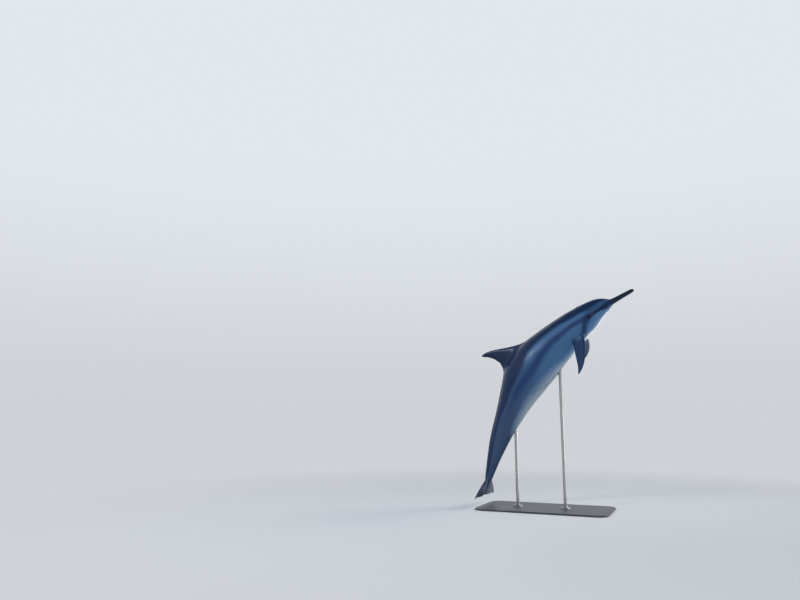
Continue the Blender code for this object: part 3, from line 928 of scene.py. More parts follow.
class Cage:
    """The whole body as a coarse closed mesh, which a subdivision rounds."""

    LAYERS = ("hollow", *(fin.value for fin in Fin), "chordwise", "outward")

    def __init__(self, fins: Fins, openings: Openings, mouth: Mouth) -> None:
        """Build the tube, sink its openings and grow its fins.

        Args:
            fins: the sizes of the fins.
            openings: the sizes of the openings.
            mouth: the sizes of the mouth.
        """
        self.bm = bmesh.new()
        self.ring = self.bm.verts.layers.int.new("ring")
        self.row = self.bm.verts.layers.int.new("row")
        self.layer = {name: self.bm.verts.layers.float.new(name) for name in self.LAYERS}
        self.chord = self.bm.verts.layers.float_vector.new("chord")
        self.crease = self.bm.edges.layers.float.new("crease_edge")
        self.tube()
        for opening in openings.all():
            self.sink(opening)
        self.slit(mouth)
        for blade in fins.all():
            self.grow(blade)
        bmesh.ops.recalc_face_normals(self.bm, faces=self.bm.faces[:])

    def tube(self) -> None:
        """Run a ring of points down the spine, and close both its ends with quads."""
        circle = bmesh.ops.create_circle(self.bm, cap_ends=True, segments=FORM.rows, radius=1.0)
        first = circle["verts"]
        for row, vert in enumerate(first):
            vert[self.row] = row
            vert.co = skin_point(PLACES[0], FORM.row_angle(PLACES[0], row))
        edges = self.bm.edges[:]
        for ring in range(1, len(PLACES)):
            new = bmesh.ops.extrude_edge_only(self.bm, edges=edges)["geom"]
            edges = [item for item in new if isinstance(item, bmesh.types.BMEdge)]
            last = [item for item in new if isinstance(item, bmesh.types.BMVert)]
            for vert in last:
                vert[self.ring] = ring
                vert.co = skin_point(PLACES[ring], FORM.row_angle(PLACES[ring], vert[self.row]))
        bmesh.ops.contextual_create(self.bm, geom=edges)
        for ends in (first, last):
            by_row = {vert[self.row]: vert for vert in ends}
            for row in range(1, FORM.rows // 2):
                bmesh.ops.connect_verts(self.bm, verts=[by_row[row], by_row[FORM.rows - row]])

    def patch(self, first: int, last: int, rows: set) -> list:
        """The faces between two rings and among some rows."""
        return [face for face in self.bm.faces if all(
            first <= vert[self.ring] <= last and vert[self.row] in rows for vert in face.verts)]

    @staticmethod
    def steps(row: int) -> dict:
        """A row and its two neighbours, with their steps from it."""
        return {(row + step) % FORM.rows: step for step in (-1, 0, 1)}

    def sink(self, opening: Opening) -> None:
        """Extrude an opening's loops, one after another.

        Args:
            opening: the opening.
        """
        ring = ring_at(opening.place)
        steps = self.steps(opening.row)
        faces = [face for face in self.patch(ring - 1, ring + 1, set(steps))
                 if len({vert[self.ring] for vert in face.verts}) == 2]
        for number, loop in enumerate(opening.loops):
            faces = pushed(self.bm, faces)
            for vert in corners(faces):
                vert.co = opening.spot(loop, vert[self.ring] - ring, steps[vert[self.row]])
                vert[self.layer["hollow"]] = float(number > opening.sharp)
            if number == opening.sharp:
                for edge in {edge for face in faces for edge in face.edges}:
                    edge[self.crease] = opening.crease if edge.is_boundary else 0.0

    def slit(self, mouth: Mouth) -> None:
        """Sink the mouth between its two rows, and pinch its floor.

        Args:
            mouth: the mouth.
        """
        last = ring_at(mouth.end)
        rows = {row for row in range(FORM.rows) if mouth.holds(row)}
        lips = self.patch(0, last, rows)
        lips = [face for face in lips if len({v[self.row] for v in face.verts}) == 2
                or all(v[self.ring] == 0 for v in face.verts)]
        for face in lips:
            for edge in face.edges:
                if edge.verts[0][self.row] == edge.verts[1][self.row]:
                    edge[self.crease] = mouth.lips
        for vert in corners(pushed(self.bm, lips)):
            ring = vert[self.ring]
            row = vert[self.row]
            twin = mouth.rows[0] + mouth.rows[1] - min(row, FORM.rows - row)
            twin = twin if row <= FORM.rows // 2 else FORM.rows - twin
            place = PLACES[ring]
            here, there = (skin_point(place, FORM.row_angle(place, r)) for r in (row, twin))
            middle = (here + there) / 2.0
            inward = spine_point(place) - middle
            depth = min(mouth.depth, inward.length * mouth.deepest)
            inward = inward.normalized() * depth * (mouth.corner if ring == last else 1.0)
            if ring == 0:
                inward -= FORM.forward(place) * mouth.depth * mouth.tip
            vert.co = middle + (here - middle) * mouth.pinch + inward
            vert[self.layer["hollow"]] = 1.0

    def grow(self, blade: Blade) -> None:
        """Extrude a fin from its patch, one rib after another.

        Args:
            blade: the fin.
        """
        first, last = blade.rings
        steps = self.steps(blade.row)
        faces = self.patch(first, last, set(steps))
        for rib in blade.ribs:
            faces = pushed(self.bm, faces)
            for vert in corners(faces):
                vert.co = blade.place(rib, vert[self.ring], steps[vert[self.row]])
                vert[self.layer[blade.kind.value]] = 1.0
                vert[self.layer["chordwise"]] = blade.share(vert[self.ring])
                vert[self.layer["outward"]] = rib.out / blade.ribs[-1].out
                vert[self.chord] = blade.chord.normalized()


# ---------------------------------------------------------------- the skin
@dataclass(frozen=True)
class Tones:
    """The skin's colours."""

    cape: tuple = shade(14, 40, 76)
    side: tuple = shade(62, 101, 141)
    neck: tuple = shade(38, 74, 113)
    streak: tuple = shade(66, 102, 148)
    band: tuple = shade(25, 57, 100)
    mask: tuple = shade(8, 40, 80)
    stripe: tuple = shade(18, 54, 92)
    cheek: tuple = shade(76, 112, 155)
    throat: tuple = shade(116, 140, 170)
    white: tuple = shade(232, 237, 244)
    # the white belly greyed along the trunk: painted shade
    belly: tuple = shade(140, 155, 170)
    beak: tuple = shade(16, 33, 54)
    chin: tuple = shade(36, 50, 74)
    tail: tuple = shade(54, 75, 106)
    fin: tuple = shade(22, 42, 72)
    flipper: tuple = shade(20, 52, 88)
    scratch: tuple = shade(108, 132, 160)
    # near black: painted shade deep in the openings, and the beak's black tip
    hollow: tuple = shade(8, 9, 12)


@dataclass(frozen=True)
class SkinFinish:
    """Smooth wet skin, dark on the back, with a paler side and a white belly, greyed as painted
    shade.

    The borders are pairs of place along the body and angle in degrees from the back. A fade is
    where a marking starts to change and where it has changed, as places or as degrees, and a
    noise is its lumps in a metre, its octaves and how strong the fine ones are.
    """

    tones: Tones = Tones()
    cape_edge: tuple = ((0.090, 44), (0.120, 50), (0.150, 62), (0.175, 68), (0.200, 61),
                        (0.240, 61), (0.300, 55), (0.420, 61), (0.520, 80), (0.620, 80),
                        (0.750, 66), (0.900, 84), (1.000, 96))
    # the border sinks to 168 round place 0.34, as painted shade under the flipper
    belly_edge: tuple = ((0.085, 192), (0.112, 182), (0.130, 160), (0.150, 158), (0.175, 162),
                         (0.200, 162), (0.240, 158), (0.290, 161), (0.340, 168), (0.390, 161),
                         (0.450, 155), (0.560, 150), (0.640, 154), (0.720, 166), (0.800, 186),
                         (1.000, 192))
    streak_middle: tuple = ((0.095, 58), (0.120, 70), (0.140, 78), (0.170, 82), (0.200, 78),
                            (0.240, 75), (0.280, 73), (0.340, 70), (0.420, 72))
    band_middle: tuple = ((0.187, 101), (0.240, 91), (0.280, 88), (0.340, 90), (0.400, 96),
                          (0.500, 104), (0.700, 104))
    band_width: tuple = ((0.187, 14), (0.240, 16), (0.280, 15), (0.340, 20), (0.420, 24),
                         (0.520, 32), (0.700, 30))
    wedge_top: tuple = ((0.080, 50), (0.092, 60), (0.112, 73), (0.135, 88), (0.170, 93),
                        (0.200, 91))
    wedge_foot: tuple = ((0.080, 160), (0.092, 150), (0.112, 136), (0.130, 119), (0.150, 109),
                         (0.170, 110), (0.200, 114))
    flipper_stripe: tuple = ((0.185, 103), (0.200, 106), (0.214, 114), (0.228, 128),
                             (0.242, 141), (0.256, 150), (0.275, 156))
    top_angle: float = 200.0                                # over all the borders' angles
    wander: tuple = (10.0, 5.0)                             # the noise that moves the borders,
    wander_stretch: tuple = (0.35, 1.0, 1.0)
    wander_reach: float = 15.0                              # and by how many degrees
    tail_fade: tuple = (0.42, 0.72)
    cheek_fades: tuple = ((0.18, 0.25), (102.0, 124.0))     # along the body, and round it
    neck_fades: tuple = ((0.200, 0.270), (86.0, 108.0))
    streak_width: float = 15.0
    streak_gap: tuple = (0.155, 0.075)                      # its middle and its reach
    streak_end: tuple = (0.34, 0.50)
    band_start: tuple = (0.180, 0.200)
    band_end: tuple = (0.55, 0.78)
    cape_blur: tuple = (7.0, 10.0)                          # degrees before and after an edge
    belly_blur: tuple = (4.0, 8.0)
    shadow_blur: tuple = (20.0, 0.0)
    shadow: float = 0.8
    shadow_fade: tuple = (0.68, 0.86)
    # where the white belly turns to its greyed tone of painted shade
    white_fade: tuple = (0.25, 0.36)
    stripe_blur: tuple = (4.0, 27.0)
    stripe_start: tuple = (0.178, 0.196)
    stripe_end: tuple = (0.252, 0.290)
    wedge_blurs: tuple = ((5.0, 4.0), (4.0, 6.0))           # of its top, and of its foot
    wedge_end: tuple = (0.186, 0.206)
    eye_patch: tuple = ((0.186, 0.026), (101.0, 19.0))      # middle and reach, along and round
    patch_strength: float = 1.5
    chin_fade: tuple = (138.0, 170.0)
    tip_fade: tuple = (0.0, 0.020)
    beak_fade: tuple = (0.082, 0.100)
    dorsal_fade: tuple = (0.2, 1.0)                         # from the leading to the trailing edge
    dorsal_tints: tuple = (1.1, -0.25)                      # the fin's factor, and how it changes
    flipper_fade: tuple = (0.02, 0.22)
    mottle: tuple = (26.0, 6.0, 0.62)
    mottle_stretch: tuple = (0.30, 1.0, 1.0)
    mottle_tint: float = 0.36
    specks: tuple = (190.0, 3.0)
    speck_tint: float = 0.14
    tip_tint: float = 0.08                                  # how much darker the fins' tips are
    # where the openings' painted shade starts and where it is whole
    hollow_fade: tuple = (0.10, 0.60)
    film: tuple = (14.0, 4.0)
    film_roughness: float = 0.12
    grain: tuple = (90.0, 4.0)
    grain_roughness: float = 0.08
    hollow_roughness: float = 0.3
    ripples: tuple = (70.0, 4.0)
    pores: tuple = (520.0, 3.0)
    pore_relief: float = 0.22                               # next to the ripples' relief
    scratch_relief: float = 0.25
    relief: tuple = (0.0009, 0.22)                          # metres, and share that is used
    rakes: tuple = ((12.0, 0.0), (-26.0, 3.7))              # the scratches' slants and shifts
    rake_lines: tuple = (210.0, 1.0)
    rake_stretch: tuple = (0.06, 1.0, 1.6)
    rake_patches: tuple = (5.0, 1.0)
    rake_cuts: tuple = ((0.66, 0.76), (0.62, 0.72))         # of the lines, and of the patches
    rake_tint: float = 0.20
    roughness: float = 0.30
    specular: float = 0.20
    coat: float = 0.09
    coat_roughness: float = 0.15

    def colour(self, g: Graph) -> Value:
        """The markings of the body, without its fins.

        Args:
            g: the material's graph.
        Returns:
            The colour.
        """
        tones = self.tones
        place = g.attribute("place")
        angle = g.attribute("angle")
        streaks = g.turned(g.attribute("flow", 1), scale=self.wander_stretch)
        round_it = angle + (g.noise(streaks, *self.wander) - 0.5) * self.wander_reach

        def reach(points: tuple) -> Value:
            """A border's angle at each place."""
            return g.curve(place, points, self.top_angle)

        def past(edge: Value, blur: tuple) -> Value:
            """Ease from 0 before an edge to 1 after it."""
            return round_it.rise(edge - blur[0], edge + blur[1])

        colour = g.mix(tones.side, tones.tail, place.rise(*self.tail_fade))
        along, across = self.cheek_fades
        colour = g.mix(colour, tones.cheek, place.fall(*along) * angle.rise(*across))
        along, across = self.neck_fades
        colour = g.mix(colour, tones.neck, place.fall(*along) * angle.fall(*across))
        streak = round_it.near(reach(self.streak_middle), self.streak_width)
        streak = streak * place.near(*self.streak_gap).fall(0.0, 1.0)
        colour = g.mix(colour, tones.streak, streak * place.fall(*self.streak_end))
        band = round_it.near(reach(self.band_middle), reach(self.band_width))
        band = band * place.rise(*self.band_start) * place.fall(*self.band_end)
        colour = g.mix(colour, tones.band, band)
        colour = g.mix(colour, tones.cape, 1.0 - past(reach(self.cape_edge), self.cape_blur))
        belly_edge = reach(self.belly_edge)
        shadow = g.mix(tones.throat, tones.tail, place.rise(*self.shadow_fade))
        colour = g.mix(colour, shadow, past(belly_edge, self.shadow_blur) * self.shadow)
        # the throat's white turns to the greyed belly along the trunk, as painted shade
        white = g.mix(tones.white, tones.belly, place.rise(*self.white_fade))
        colour = g.mix(colour, white, past(belly_edge, self.belly_blur))
        stripe = (round_it - reach(self.flipper_stripe)).size().fall(*self.stripe_blur)
        stripe = stripe * place.rise(*self.stripe_start) * place.fall(*self.stripe_end)
        colour = g.mix(colour, tones.stripe, stripe)
        top_blur, foot_blur = self.wedge_blurs
        wedge = past(reach(self.wedge_top), top_blur)
        wedge = wedge * (1.0 - past(reach(self.wedge_foot), foot_blur))
        wedge = wedge * place.fall(*self.wedge_end)
        along, across = self.eye_patch
        patch = place.near(*along) * angle.near(*across) * self.patch_strength
        colour = g.mix(colour, tones.mask, wedge.most(patch))
        beak = g.mix(tones.beak, tones.chin, angle.rise(*self.chin_fade))
        # the beak's black tip, in the near black that also paints the openings' shade
        beak = g.mix(tones.hollow, beak, place.rise(*self.tip_fade))
        return g.mix(colour, beak, place.fall(*self.beak_fade))

    def material(self) -> bpy.types.Material:
        """The skin's material.

        Returns:
            The material, which reads the skin's own attributes.
        """
        g = Graph.material("dolphin_skin")
        tones = self.tones
        flow = g.attribute("flow", 1)
        outward = g.attribute("outward")
        colour = self.colour(g)
        light, change = self.dorsal_tints
        dorsal = g.attribute("chordwise").rise(*self.dorsal_fade) * change + light
        on_dorsal, on_flipper, on_fluke = (g.attribute(fin.value) for fin in Fin)
        colour = g.mix(colour, g.tint(tones.fin, dorsal), on_dorsal.rise(0.0, 1.0))
        colour = g.mix(colour, tones.flipper, on_flipper * outward.rise(*self.flipper_fade))
        colour = g.mix(colour, tones.fin, on_fluke.rise(0.0, 1.0))
        streaks = g.turned(flow, scale=self.mottle_stretch)
        mottle = g.about(1.0, (g.noise(streaks, *self.mottle), self.mottle_tint),
                         (g.noise(flow, *self.specks), self.speck_tint))
        colour = g.tint(colour, mottle - outward * self.tip_tint)
        scratches = self.scratches(g, flow)
        colour = g.mix(colour, tones.scratch, scratches)
        # near-black painted shade deep in the mouth's slit, the eyes' sockets, the ears, the blowhole
        # and the belly's slit
        hollow = g.attribute("hollow")
        colour = g.mix(colour, tones.hollow, hollow.rise(*self.hollow_fade))
        rough = g.about(self.roughness, (g.noise(flow, *self.grain), self.grain_roughness),
                        (g.noise(flow, *self.film), self.film_roughness))
        relief = g.noise(streaks, *self.ripples) + g.noise(flow, *self.pores) * self.pore_relief
        relief = relief - scratches * self.scratch_relief
        return g.finish(Base_Color=colour, Roughness=rough + hollow * self.hollow_roughness,
                        Specular_IOR_Level=self.specular, Coat_Weight=self.coat,
                        Coat_Roughness=self.coat_roughness, Normal=g.bump(relief, *self.relief))

    def scratches(self, g: Graph, flow: Value) -> Value:
        """Faint parallel rake marks in a few patches.

        Args:
            g: the material's graph.
            flow: the coordinates along and round the body.
        Returns:
            How strong the marks are, from 0 to 1.
        """
        marks = 0.0
        line_cut, patch_cut = self.rake_cuts
        for turn, shift in self.rakes:
            slanted = g.turned(flow, (0.0, turn, 0.0), self.rake_stretch, (shift, 0.0, 0.0))
            lines = g.noise(slanted, *self.rake_lines).rise(*line_cut)
            patches = g.noise(g.turned(flow, shift=(shift, shift, 0.0)), *self.rake_patches)
            marks = lines * patches.rise(*patch_cut) * self.rake_tint + marks
        return marks


@dataclass(frozen=True)
class Fold:
    """A crease or a swelling of the skin, along a line on both sides of the body."""

    start: tuple            # place along the body, and angle in degrees from the back
    end: tuple
    width: float            # half of it
    rise: float             # less than 0 for a crease
    bow: float = 0.0        # how far the line's middle moves to the tail
    ends: float = 0.25      # share of the line over which each end fades, or 0

    def height(self, place: np.ndarray, angle: np.ndarray, radius: np.ndarray) -> np.ndarray:
        """How far the fold lifts each point.

        Args:
            place: the points' places along the body.
            angle: their angles from the back.
            radius: their distances from the spine.
        Returns:
            The lifts, in metres.
        """
        along = (place - self.start[0]) * FORM.length
        across = np.radians(angle - self.start[1]) * radius
        run = (self.end[0] - self.start[0]) * FORM.length
        climb = np.radians(self.end[1] - self.start[1]) * radius
        share = np.clip((along * run + across * climb) / (run ** 2 + climb ** 2 + 1e-12), 0.0, 1.0)
        away = np.hypot(along - run * share - self.bow * 4.0 * share * (1.0 - share),
                        across - climb * share)
        profile = np.clip(1.0 - (away / self.width) ** 2, 0.0, 1.0) ** 2
        fade = 1.0
        if self.ends:
            fade = np.clip(np.minimum(share, 1.0 - share) / self.ends, 0.0, 1.0)
            fade = fade * fade * (3.0 - 2.0 * fade)
        return self.rise * profile * fade


@dataclass(frozen=True)
class Relief:
    """What is pressed into the rounded skin: folds, muscles, ribs and worn edges.

    A wave is its radians in a metre along the three axes, and its start. A nick is its middle and
    its half width, as shares of the way out to the fin's tip, and its depth.
    """

    folds: tuple = (
        Fold((0.0890, 0), (0.0925, 96), 0.0075, -0.0022, ends=0.0),     # beak and melon
        Fold((0.094, 112), (0.150, 112), 0.0080, 0.0010),               # lower lip
        Fold((0.148, 97), (0.163, 111), 0.0060, -0.0014, 0.003),        # corner of the mouth
        Fold((0.154, 94), (0.168, 104), 0.0070, 0.0009, 0.003),
        Fold((0.168, 84), (0.206, 85), 0.0130, 0.0018),                 # brow
        Fold((0.172, 79), (0.200, 79), 0.0070, -0.0006, ends=0.45),
        Fold((0.172, 116), (0.204, 118), 0.0065, -0.0010, 0.002),       # under the eye
        Fold((0.160, 132), (0.200, 146), 0.0260, 0.0020),               # jaw's angle
        Fold((0.218, 56), (0.228, 148), 0.0140, -0.0005, 0.006, 0.40),  # neck
        Fold((0.236, 52), (0.244, 126), 0.0140, -0.0005, 0.005, 0.40),
        Fold((0.205, 146), (0.216, 180), 0.0080, -0.0010, 0.006),
        Fold((0.224, 150), (0.232, 180), 0.0080, -0.0008, 0.006),
        Fold((0.120, 158), (0.190, 150), 0.0080, -0.0008),              # throat
        Fold((0.292, 148), (0.316, 157), 0.0090, -0.0015, 0.004),       # behind the flippers
        Fold((0.290, 138), (0.318, 142), 0.0085, -0.0014, 0.004),
        Fold((0.287, 129), (0.312, 127), 0.0085, -0.0012, 0.004),
        Fold((0.240, 128), (0.262, 124), 0.0100, 0.0016),               # shoulder
        Fold((0.255, 24), (0.415, 22), 0.0220, -0.0016),                # along the spine
        Fold((0.560, 30), (0.840, 34), 0.0200, -0.0022),
        Fold((0.580, 88), (0.890, 90), 0.0240, -0.0026),                # flank
        Fold((0.600, 122), (0.850, 118), 0.0260, 0.0014),
        Fold((0.855, 90), (0.925, 90), 0.0085, 0.0016),                 # keels of the tail
        Fold((0.496, 180), (0.512, 180), 0.0120, -0.0018, ends=0.0),    # navel
    )
    ribs: int = 6
    rib_height: float = 0.0005
    rib_places: tuple = (0.285, 0.430)
    rib_angles: tuple = (84.0, 140.0)
    rib_slant: float = 0.1              # how much the ribs lean
    waves: tuple = ((31.0, 17.0, 23.0, 0.4), (47.0, -29.0, 38.0, 1.7), (83.0, 61.0, -71.0, 2.9))
    wave_height: float = 0.0005
    calm: tuple = (0.10, 0.15, 0.2)     # where the waves start to grow, over what, from what share
    nicks: tuple = ((0.30, 0.065, 0.0030), (0.56, 0.045, 0.0018), (0.80, 0.055, 0.0024))
    edge_waves: tuple = (21.0, 0.0005)  # radians out to the tip, and half the depth
    worn: float = 0.80      # how far back the wear of a trailing edge starts
    wear_shares: tuple = ((Fin.DORSAL, 1.0), (Fin.FLUKE, 0.4), (Fin.FLIPPER, 0.2))

    def lift(self, place: np.ndarray, angle: np.ndarray, radius: np.ndarray,
             points: np.ndarray) -> np.ndarray:
        """How far the body's points move outwards.

        Args:
            place: their places along the body.
            angle: their angles from the back.
            radius: their distances from the spine.
            points: their coordinates.
        Returns:
            The lifts, in metres.
        """
        lift = sum(fold.height(place, angle, radius) for fold in self.folds)
        first, last = self.rib_places
        low, high = self.rib_angles
        along = np.clip((place - first) / (last - first), 0.0, 1.0)
        across = np.clip((angle - low) / (high - low), 0.0, 1.0)
        window = np.sin(np.pi * along) * np.sin(np.pi * across)
        turns = self.ribs * (along + self.rib_slant * across)
        lift += self.rib_height * np.sin(math.tau * turns) * window
        start, run, least = self.calm
        calm = np.clip((place - start) / run, least, 1.0)
        for *way, phase in self.waves:
            lift += self.wave_height / len(self.waves) * calm * np.sin(points @ np.array(way) + phase)
        return lift

    def wear(self, chordwise: np.ndarray, outward: np.ndarray) -> np.ndarray:
        """How far the points of a fin's trailing edge move to the leading edge.

        Args:
            chordwise: how far back the points are, from 0 to 1.
            outward: how far out they are, from 0 to 1.
        Returns:
            The moves, in metres.
        """
        turn, half = self.edge_waves
        depth = half * (1.0 + np.sin(turn * outward))
        for middle, width, size in self.nicks:
            depth = depth + size * np.clip(1.0 - ((outward - middle) / width) ** 2, 0.0, 1.0)
        share = np.clip((chordwise - self.worn) / (1.0 - self.worn), 0.0, 1.0)
        return depth * share * share


@dataclass
class Skin:
    """One closed skin over all the flesh."""

    fins: Fins = Fins()
    openings: Openings = Openings()
    mouth: Mouth = Mouth()
    finish: SkinFinish = SkinFinish()
    relief: Relief = Relief()
    rounding: int = 3
    batch: int = 20000      # points that are unrolled at a time
    nodes: tuple = ("beak_upper", "lower_jaw", "head", "chest", "trunk", "tail_stock_front",
                    "tail_stock_rear", "dorsal_fin", "flipper_left", "flipper_right",
                    "fluke_left", "fluke_right")

    def build(self) -> bpy.types.Object:
        """Make the skin, ride it on the body and stand it for the flesh nodes.

        Returns:
            The skin's object.
        """
        cage = Cage(self.fins, self.openings, self.mouth)
        LOG.info("cage: %d faces", len(cage.bm.faces))
        holder = placed("cage", mesh_from("cage", cage.bm))
        rounding = holder.modifiers.new("rounding", "SUBSURF")
        rounding.levels = rounding.render_levels = self.rounding
        rounding.use_limit_surface = True
        graph = bpy.context.evaluated_depsgraph_get()
        mesh = bpy.data.meshes.new_from_object(holder.evaluated_get(graph))
        bpy.data.objects.remove(holder, do_unlink=True)
        mesh.name = "skin"
        self.sculpt(mesh)
        mesh.shade_smooth()
        mesh.materials.clear()
        mesh.materials.append(self.finish.material())
        skin = placed("skin", mesh)
        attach(skin, BODY)
        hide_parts(*self.nodes)
        return skin

    def unroll(self, points: np.ndarray) -> tuple:
        """Find where points lie along and round the body.

        Args:
            points: their coordinates, one row each.
        Returns:
            Their places, their offsets to the left and their heights over the spine.
        """
        line = np.array([tuple(point) for point in MIDDLE_LINE])
        ahead = np.array([tuple(FORM.forward(i / FORM.steps)) for i in range(len(line))])
        offset = (line * ahead).sum(1)
        places = np.empty(len(points))
        for start in range(0, len(points), self.batch):
            part = points[start:start + self.batch]
            over = part @ ahead.T - offset
            after = np.clip((over >= 0.0).argmax(1), 1, len(line) - 1)
            late = over[np.arange(len(part)), after]
            early = over[np.arange(len(part)), after - 1]
            share = np.clip(early / np.minimum(early - late, -1e-9), 0.0, 1.0)
            places[start:start + self.batch] = (after - 1 + share) / FORM.steps
        step = places * FORM.steps
        index = np.clip(step.astype(int), 0, len(line) - 2)
        middle = line[index] + (line[index + 1] - line[index]) * (step - index)[:, None]
        way = ahead[index] + (ahead[index + 1] - ahead[index]) * (step - index)[:, None]
        gap = points - middle
        return places, gap[:, 1], gap[:, 2] * way[:, 0] - gap[:, 0] * way[:, 2]

    def sculpt(self, mesh: bpy.types.Mesh) -> None:
        """Press folds and hollows into the rounded skin, and store what its material reads.

        Args:
            mesh: the rounded skin.
        """

        def read(layer: bpy.types.Attribute | None, field: str, width: int) -> np.ndarray:
            """Read the values of a layer, or of the points where there is no layer.

            Args:
                layer: the layer, or None.
                field: the name of what is read.
                width: how many numbers each point has.
            Returns:
                The values, one row each where a point has several.
            """
            source = layer.data if layer else mesh.vertices
            values = np.empty(len(mesh.vertices) * width)
            source.foreach_get(field, values)
            return values.reshape(-1, width) if width > 1 else values

        points = read(None, "co", 3)
        normals = read(None, "normal", 3)
        layers = {name: read(mesh.attributes[name], "value", 1) for name in Cage.LAYERS}
        chord = read(mesh.attributes["chord"], "vector", 3)
        place, side, height = self.unroll(points)
        angle = np.degrees(np.arctan2(np.abs(side), height))
        fins = sum(layers[fin.value] for fin in Fin)
        bare = np.clip(1.0 - fins * 2.0, 0.0, 1.0) * np.clip(1.0 - layers["hollow"] * 2.0, 0.0, 1.0)
        lift = self.relief.lift(place, angle, np.hypot(side, height), points) * bare
        worn = sum(np.clip(layers[fin.value], 0.0, 1.0) * share
                   for fin, share in self.relief.wear_shares)
        wear = self.relief.wear(layers["chordwise"], layers["outward"]) * worn
        moved = points + normals * lift[:, None] - chord * wear[:, None]
        mesh.vertices.foreach_set("co", moved.ravel())
        mesh.update()
        for name, kind, values in (("place", "FLOAT", place), ("angle", "FLOAT", angle),
                                   ("flow", "FLOAT_VECTOR", np.stack(
                                       [place * FORM.length, side, height], 1))):
            layer = mesh.attributes.new(name, kind, "POINT")
            field = "vector" if kind == "FLOAT_VECTOR" else "value"
            layer.data.foreach_set(field, values.astype(np.float32).ravel())


# ---------------------------------------------------------------- the eyes
@dataclass(frozen=True)
class EyeFinish:
    """A wet dark brown eye, whose pupil is a slot with a lobe of the iris hanging into it."""

    white: tuple = shade(34, 36, 44)
    rim: tuple = shade(4, 6, 10)
    iris: tuple = shade(24, 16, 12)
    pupil: tuple = shade(1, 1, 2)
    iris_size: float = 0.56
    pupil_size: tuple = (0.30, 0.17)
    lobe: tuple = (0.15, 0.13)
    rays: tuple = (16.0, 5.0, 0.7)          # noise of the iris: lumps, octaves, fine strength
    ray_stretch: tuple = (1.0, 0.15, 1.0)
    ray_tint: float = 1.3
    iris_fade: tuple = (0.3, 1.0)           # fades go outwards, with 1 on the oval's edge
    iris_tints: tuple = (0.25, 0.5)         # the factor at the middle, and what the edge adds
    rim_fade: tuple = (0.82, 0.98)
    white_fade: tuple = (1.02, 1.12)
    lobe_fade: tuple = (0.85, 1.05)
    pupil_fade: tuple = (0.90, 1.05)
    roughness: float = 0.06
    specular: float = 0.12
    coat: float = 0.08
    coat_roughness: float = 0.02

    def material(self) -> bpy.types.Material:
        """The eye's material, which reads the eye's own directions.

        Returns:
            The material.
        """
        g = Graph.material("dolphin_eye")
        gaze = g.attribute("gaze", 1)
        along = g.node("ShaderNodeSeparateXYZ", {}, {0: gaze}, 0)
        up = g.node("ShaderNodeSeparateXYZ", {}, {0: gaze}, 2)

        def oval(middle: float, size: tuple) -> Value:
            """How far out of an oval a point is.

            Args:
                middle: the oval's height.
                size: its half sizes along and up.
            Returns:
                The distance, which is 1 on the oval's edge.
            """
            across = along / size[0]
            rise = (up - middle) / size[1]
            return g.math("SQRT", across * across + rise * rise)

        ring = oval(0.0, (self.iris_size, self.iris_size))
        rays = g.noise(g.turned(gaze, scale=self.ray_stretch), *self.rays) * self.ray_tint
        dark, light = self.iris_tints
        iris = g.tint(self.iris, rays + ring.rise(*self.iris_fade) * light + dark)
        colour = g.mix(iris, self.rim, ring.rise(*self.rim_fade))
        colour = g.mix(colour, self.white, ring.rise(*self.white_fade))
        lobe = oval(self.pupil_size[1], self.lobe).fall(*self.lobe_fade)
        hole = oval(0.0, self.pupil_size).fall(*self.pupil_fade) * (1.0 - lobe)
        return g.finish(Base_Color=g.mix(colour, self.pupil, hole), Roughness=self.roughness,
                        Specular_IOR_Level=self.specular, Coat_Weight=self.coat,
                        Coat_Roughness=self.coat_roughness)


@dataclass
class Eye:
    """An eyeball behind its lids, whose front is where the solid's is."""

    side: Side
    finish: EyeFinish = EyeFinish()
    openings: Openings = Openings()
    segments: int = 48
    half: tuple = (0.0180, 0.0125, 0.0150)      # along the body, outwards, and round the body
    bulge: float = 0.05                         # of the clear front, as a share,
    clear: float = 0.75                         # and how far out that front starts

    def build(self) -> bpy.types.Object:
        """Make the eye in place of its node.

        Returns:
            The eye's object.
        """
        node = "eye_" + self.side.word
        low, high = (Vector(corner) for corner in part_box(node))
        place = self.openings.eye_place
        angle = FORM.row_angle(place, self.side.row(self.openings.eye_row))
        ahead, across, outward = skin_axes(place, angle)
        axes = Matrix((ahead, outward, across)).transposed().to_4x4()
        skin = skin_point(place, angle)
        reach = ((low + high) / 2.0 - skin).dot(outward) + (high.y - low.y) / 2.0
        middle = skin + outward * (reach - self.half[1] * (1.0 + self.bulge))
        bm = bmesh.new()
        bmesh.ops.create_uvsphere(bm, u_segments=self.segments, v_segments=self.segments // 2,
                                  radius=1.0, matrix=Matrix.Rotation(math.pi / 2.0, 4, "X"))
        gaze = bm.verts.layers.float_vector.new("gaze")
        for vert in bm.verts:
            up = vert.co.z if self.side is Side.RIGHT else -vert.co.z
            vert[gaze] = Vector((vert.co.x, vert.co.y, up))
            front = smoothstep((vert.co.y - self.clear) / (1.0 - self.clear))
            vert.co *= 1.0 + self.bulge * front
        bmesh.ops.transform(bm, verts=bm.verts[:], matrix=Matrix.Translation(middle) @ axes @
                            Matrix.Diagonal((*self.half, 1.0)))
        return finished(node + "_ball", bm, self.finish.material(), "eye", node)


SHARP = math.radians(38.0)      # edges that turn more than this look sharp


def finished(name: str, bm: bmesh.types.BMesh, material: bpy.types.Material, slot: str,
             *nodes: str) -> bpy.types.Object:
    """Turn a bmesh into a piece of the model.

    Args:
        name: the piece's name.
        bm: its shape, in place.
        material: its finish.
        slot: the record's slot for that finish, which is not used.
        nodes: the solids that it stands for.
    Returns:
        The piece's object.
    """
    bmesh.ops.recalc_face_normals(bm, faces=bm.faces[:])
    mesh = mesh_from(name, bm)
    mesh.shade_smooth()
    mesh.set_sharp_from_angle(angle=SHARP)
    mesh.materials.append(material)
    piece = placed(name, mesh)
    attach(piece, BODY)
    if nodes:
        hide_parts(*nodes)
    return piece


